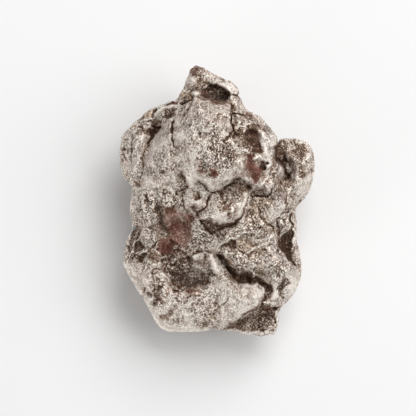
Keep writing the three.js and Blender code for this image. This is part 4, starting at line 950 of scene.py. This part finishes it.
def store_looks(mesh, points, field, upper):
    """Stores what the material reads: how hollow the shape is, and what is drawn on it."""
    # The hollowness values give painted shade in hollows and painted highlight on edges
    add_values(mesh, "hollow_fine", sampled(hollowness(field, FINE_HOLLOWS), points))
    add_values(mesh, "hollow_broad", sampled(hollowness(field, BROAD_HOLLOWS), points))
    above = sampled(upper, points)
    for name, plan in (
        ("worn", draw_worn()),
        ("patches", draw_patches()),
        ("flecks", draw_tint(FLECKS)),
        ("tan", draw_tint(TAN)),
    ):
        add_values(mesh, name, above * sampled(plan, points))
    # These are drawn on the upper side, and scattered in blotches over the others
    for name, plan, elsewhere, seed in (
        ("dirt_and_shade", draw_dirt_and_shade(), 0.5, 21),
        ("rust", draw_tint(RUST), 0.8, 22),
        ("grey", draw_tint(GREY), 0.8, 23),
        ("pale", draw_tint(PALE_AND_PAINTED_LIGHT), 1.0, 24),
    ):
        scattered = elsewhere * sampled(blotches(seed), points)
        add_values(mesh, name, above * sampled(plan, points) + (1.0 - above) * scattered)


def build_stone():
    """The stone's piece, with the values that its material reads."""
    field, upper = sculpted_field()
    mesh = decimated(*largest_part(*surface_of(field)), TRIANGLES)
    points = mesh_points(mesh)
    points[:, 2] = np.maximum(points[:, 2], 0.0)
    store_looks(mesh, points, field, upper)
    mesh.vertices.foreach_set("co", (points * MM).ravel())
    mesh.shade_smooth()
    mesh.materials.append(iron_material())
    return add_object("meteorite_stone", mesh)


# ---------------------------------------------------------------------------
# The material
# ---------------------------------------------------------------------------


def linear(red, green, blue):
    """A colour given in sRGB bytes, as the linear colour that Blender wants."""

    def channel(byte):
        value = byte / 255.0
        return value / 12.92 if value <= 0.04045 else ((value + 0.055) / 1.055) ** 2.4

    return (channel(red), channel(green), channel(blue), 1.0)


class Graph:
    """Short calls for building a material's nodes."""

    def __init__(self, name):
        self.material = bpy.data.materials.new(name)
        self.material.use_nodes = True
        self.nodes = self.material.node_tree.nodes
        self.links = self.material.node_tree.links
        self.shader = self.nodes["Principled BSDF"]
        self.place = self.nodes.new("ShaderNodeTexCoord").outputs["Object"]

    def feed(self, socket, value):
        """Links an output to a socket, or sets the socket to a number or colour."""
        if isinstance(value, bpy.types.NodeSocket):
            self.links.new(value, socket)
        else:
            socket.default_value = value

    def value(self, name):
        """A value stored on the mesh."""
        node = self.nodes.new("ShaderNodeAttribute")
        node.attribute_name = name
        return node.outputs["Fac"]

    def scaled(self, size, stretch=1.0):
        """Places counted in lumps of a size in mm, drawn out along Y by a stretch."""
        node = self.nodes.new("ShaderNodeMapping")
        self.links.new(self.place, node.inputs["Vector"])
        count = 1.0 / (size * MM)
        node.inputs["Scale"].default_value = (count, count / stretch, count)
        return node.outputs["Vector"]

    def noise(self, size, detail=3.0, roughness=0.5, stretch=1.0):
        """Noise about 0.5, in lumps of a size in mm."""
        node = self.nodes.new("ShaderNodeTexNoise")
        self.links.new(self.scaled(size, stretch), node.inputs["Vector"])
        node.inputs["Scale"].default_value = 1.0
        node.inputs["Detail"].default_value = detail
        node.inputs["Roughness"].default_value = roughness
        return node.outputs["Fac"]

    def grains(self, size):
        """A random value about 0.5 for each angular grain of a size in mm."""
        node = self.nodes.new("ShaderNodeTexVoronoi")
        self.links.new(self.scaled(size), node.inputs["Vector"])
        node.inputs["Scale"].default_value = 1.0
        return node.outputs["Color"]

    def spread(self, noise, deviation):
        """A noise about 0.5 turned into one about 0 with a deviation of about 1."""
        return self.total(-0.5 / deviation, (noise, 1.0 / deviation))

    def times(self, a, b):
        """Two values multiplied."""
        node = self.nodes.new("ShaderNodeMath")
        node.operation = "MULTIPLY"
        self.feed(node.inputs[0], a)
        self.feed(node.inputs[1], b)
        return node.outputs[0]

    def total(self, start, *terms):
        """A start, a number or an output, plus terms that are each an output and its weight."""
        result = start
        for value, weight in terms:
            node = self.nodes.new("ShaderNodeMath")
            node.operation = "MULTIPLY_ADD"
            self.feed(node.inputs[0], value)
            node.inputs[1].default_value = weight
            self.feed(node.inputs[2], result)
            result = node.outputs[0]
        return result

    def between(self, value, low, high):
        """0 where a value is at low or beyond, 1 at high or beyond, smooth between."""
        node = self.nodes.new("ShaderNodeMapRange")
        node.interpolation_type = "SMOOTHSTEP"
        self.feed(node.inputs["Value"], value)
        node.inputs["From Min"].default_value = low
        node.inputs["From Max"].default_value = high
        return node.outputs["Result"]

    def mix(self, factor, a, b, blend="MIX"):
        """Colour a where the factor is 0, and b, or what it makes of a, where it is 1."""
        node = self.nodes.new("ShaderNodeMix")
        node.data_type = "RGBA"
        node.blend_type = blend
        self.feed(node.inputs["Factor"], factor)
        self.feed(node.inputs["A"], a)
        self.feed(node.inputs["B"], b)
        return node.outputs["Result"]

    def ramp(self, value, stops):
        """The colour at a value between stops of (value, colour)."""
        node = self.nodes.new("ShaderNodeValToRGB")
        elements = node.color_ramp.elements
        for stop in stops[1:-1]:
            elements.new(stop[0])
        for element, (position, colour) in zip(elements, stops):
            element.position = position
            element.color = colour
        self.feed(node.inputs["Fac"], value)
        return node.outputs["Color"]

    def bump(self, height, distance, strength):
        """Normals of a height that is worth a distance in mm."""
        node = self.nodes.new("ShaderNodeBump")
        self.feed(node.inputs["Height"], height)
        node.inputs["Distance"].default_value = distance * MM
        node.inputs["Strength"].default_value = strength
        return node.outputs["Normal"]


# Textures: sizes in mm
MOTTLE_SIZE = 3.5
GRIT_SIZE = 0.6
SPECK_SIZE = 0.24
STREAK_SIZE = 0.4
STREAK_LENGTH = 5.0  # times its size
FLOOR_CLOUDS = 60.0

# How far a texture's values stray from their middle
NOISE_DEVIATION = 0.1
SPECK_DEVIATION = 0.22

# Values that a mask fades in between
PITTED = (1.1, 1.7)
TINTED = (0.3, 1.3)
RUSTED = (0.1, 0.8)
SOILED = (0.6, 0.2)  # of tone: the darker, the more soiled

# The metal's colours by tone, from hollows dark with dirt and painted shade at 0 to freshly worn edges with
# painted highlight at 1
TONES = [
    (0.0, linear(66, 47, 36)),
    (0.25, linear(100, 76, 58)),
    (0.5, linear(146, 125, 108)),
    (0.75, linear(196, 182, 170)),
    (1.0, linear(252, 244, 234)),
]
RUST_TONES = [
    (0.0, linear(62, 32, 24)),
    (0.4, linear(106, 66, 55)),
    (0.7, linear(150, 108, 95)),
    (1.0, linear(236, 214, 200)),
]
PEWTER = linear(180, 171, 166)
SAND = linear(150, 131, 110)
BASE_TONE = 0.65  # of metal on which nothing is drawn
BASE_TEXTURE = 0.115  # and how far its texture moves that


def metal_tone(g, mottle, grit, speck):
    """How light the metal is, with painted shade and painted highlight in it, and the height of its fine
    relief.
    """
    dirt_and_shade, rust, tan, worn = g.value("dirt_and_shade"), g.value("rust"), g.value("tan"), g.value("worn")
    grey, pale, crowd = g.value("grey"), g.value("pale"), g.value("flecks")
    noise = g.noise(STREAK_SIZE, detail=2.0, roughness=0.7, stretch=STREAK_LENGTH)
    streak = g.spread(noise, NOISE_DEVIATION)

    # What is drawn, with painted light in the pale zones and patches and painted shade in the dirt, and the
    # painted shade in hollows and painted highlight on edges that the shape gives
    zones = g.total(BASE_TONE, (pale, 0.11), (grey, -0.04), (tan, -0.10), (crowd, -0.09))
    zones = g.total(zones, (dirt_and_shade, -0.42), (worn, 0.1), (g.value("patches"), 1.0))
    shape = g.total(0.0, (g.value("hollow_fine"), -0.8), (g.value("hollow_broad"), -0.15), (rust, -0.12))

    # Texture all over, more where flecks crowd together, and streaks on the grey faces
    unevenness = g.total(BASE_TEXTURE, (crowd, 0.11), (grey, -0.05), (pale, -0.05), (rust, -0.05))
    texture = g.times(unevenness, g.total(0.0, (speck, 2.8), (grit, 0.3), (mottle, 0.45)))
    texture = g.total(texture, (g.times(grey, streak), 0.13))

    # Dark pits where specks and grit are both high
    crowding = g.total(0.0, (speck, 0.8), (grit, 0.7), (mottle, 0.2))
    crowding = g.total(crowding, (crowd, 1.2), (grey, -0.5), (rust, -0.4))
    pitted = g.between(crowding, *PITTED)

    tone = g.total(0.0, (zones, 1.0), (shape, 1.0), (texture, 1.0), (pitted, -0.36))
    return tone, g.total(texture, (pitted, -0.3))


def metal_colour(g, tone, mottle, grit, speck):
    """The metal's colour at a tone: cooler on grey faces, sandy in the tan zones, red in the rust."""
    colour = g.ramp(tone, TONES)
    hue = g.total(0.0, (grit, 0.12), (mottle, 0.12))
    for zone, tint in (("grey", PEWTER), ("tan", SAND)):
        share = g.between(g.total(hue, (g.value(zone), 1.0)), *TINTED)
        colour = g.mix(share, colour, tint, blend="COLOR")
    rusty = g.total(0.0, (g.value("rust"), 0.8), (grit, 0.15), (mottle, 0.2), (speck, 0.1))
    return g.mix(g.between(rusty, *RUSTED), colour, g.ramp(tone, RUST_TONES))


def iron_material():
    """Weathered nickel-iron: pale worn edges with painted highlight, grey faces, painted light on some
    faces, and brown dirt, rust and painted shade in hollows.
    """
    g = Graph("weathered_nickel_iron")
    mottle = g.spread(g.noise(MOTTLE_SIZE, detail=3.0, roughness=0.6), NOISE_DEVIATION)
    grit = g.spread(g.noise(GRIT_SIZE, detail=2.0, roughness=0.7), NOISE_DEVIATION)
    speck = g.spread(g.grains(SPECK_SIZE), SPECK_DEVIATION)
    tone, height = metal_tone(g, mottle, grit, speck)
    g.feed(g.shader.inputs["Base Color"], metal_colour(g, tone, mottle, grit, speck))
    g.feed(g.shader.inputs["Normal"], g.bump(height, distance=0.4, strength=0.7))

    # What the clean metal is like, and how that changes where it is soiled
    soiled = g.between(tone, *SOILED)
    for socket, clean, change in (
        ("Metallic", 0.28, -0.25),
        ("Roughness", 0.55, 0.3),
        ("Specular IOR Level", 0.5, -0.35),
    ):
        g.feed(g.shader.inputs[socket], g.total(clean, (soiled, change)))
    return g.material


def floor_material():
    """Plain pale paint, with a hardly visible cloudiness."""
    g = Graph("pale_floor")
    tone = g.mix(g.noise(FLOOR_CLOUDS), linear(243, 243, 243), linear(245, 245, 245))
    g.feed(g.shader.inputs["Base Color"], tone)
    g.shader.inputs["Roughness"].default_value = 1.0
    g.shader.inputs["Specular IOR Level"].default_value = 0.0
    return g.material


# ---------------------------------------------------------------------------
# The studio
# ---------------------------------------------------------------------------

FRAME_WIDTH = 91.5  # mm that the picture shows, at the height of the stone's edge
EDGE_HEIGHT = 11.0  # mm
CAMERA_HEIGHT = 700.0  # mm
LOOK_AT = (-2.1, -1.4)  # the picture's middle, in mm from the stone's
SENSOR = 36.0  # mm
FARTHEST = 10.0  # m that the camera sees
FLOOR_REACH = 1.0  # m from the stone
SKY = 0.35  # strength of the light from all round


def add_camera():
    """A camera straight above, framed as the photo is."""
    data = bpy.data.cameras.new("camera")
    data.sensor_width = SENSOR
    data.lens = SENSOR * (CAMERA_HEIGHT - EDGE_HEIGHT) / FRAME_WIDTH
    data.clip_end = FARTHEST
    camera = add_object("camera", data)
    camera.location = (LOOK_AT[0] * MM, LOOK_AT[1] * MM, CAMERA_HEIGHT * MM)
    bpy.context.scene.camera = camera


def add_floor():
    """A square of floor that fills the picture."""
    corners = [(x * FLOOR_REACH, y * FLOOR_REACH, 0.0) for x, y in ((-1, -1), (1, -1), (1, 1), (-1, 1))]
    mesh = bpy.data.meshes.new("floor")
    mesh.from_pydata(corners, [], [(0, 1, 2, 3)])
    mesh.materials.append(floor_material())
    floor = add_object("floor", mesh)


def add_softbox(name, azimuth, elevation, distance, size, power):
    """A square light that faces the stone, in mm and watts. Azimuth turns from +X towards +Y."""
    light = bpy.data.lights.new(name, "AREA")
    light.shape = "SQUARE"
    light.size = size * MM
    light.energy = power
    lamp = add_object(name, light)
    turn, rise = math.radians(azimuth), math.radians(elevation)
    lamp.location = [
        distance * MM * math.cos(rise) * math.cos(turn),
        distance * MM * math.cos(rise) * math.sin(turn),
        distance * MM * math.sin(rise),
    ]
    lamp.rotation_euler = (math.pi / 2 - rise, 0.0, turn + math.pi / 2)


def light_studio():
    """A key light from the upper right, two weaker ones, and a white sky."""
    add_softbox("key", azimuth=63.0, elevation=46.0, distance=900.0, size=600.0, power=5.8)
    add_softbox("side", azimuth=6.0, elevation=42.0, distance=900.0, size=600.0, power=2.6)
    add_softbox("fill", azimuth=228.0, elevation=8.0, distance=600.0, size=160.0, power=1.2)
    world = bpy.data.worlds.new("studio")
    world.use_nodes = True
    background = world.node_tree.nodes["Background"]
    background.inputs["Color"].default_value = (1.0, 1.0, 1.0, 1.0)
    background.inputs["Strength"].default_value = SKY
    bpy.context.scene.world = world
    bpy.context.scene.view_settings.view_transform = "Standard"


# ---------------------------------------------------------------------------
# Putting it together
# ---------------------------------------------------------------------------

stone = build_stone()
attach(stone, "root")
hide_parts(NODE)
add_floor()
light_studio()
add_camera()
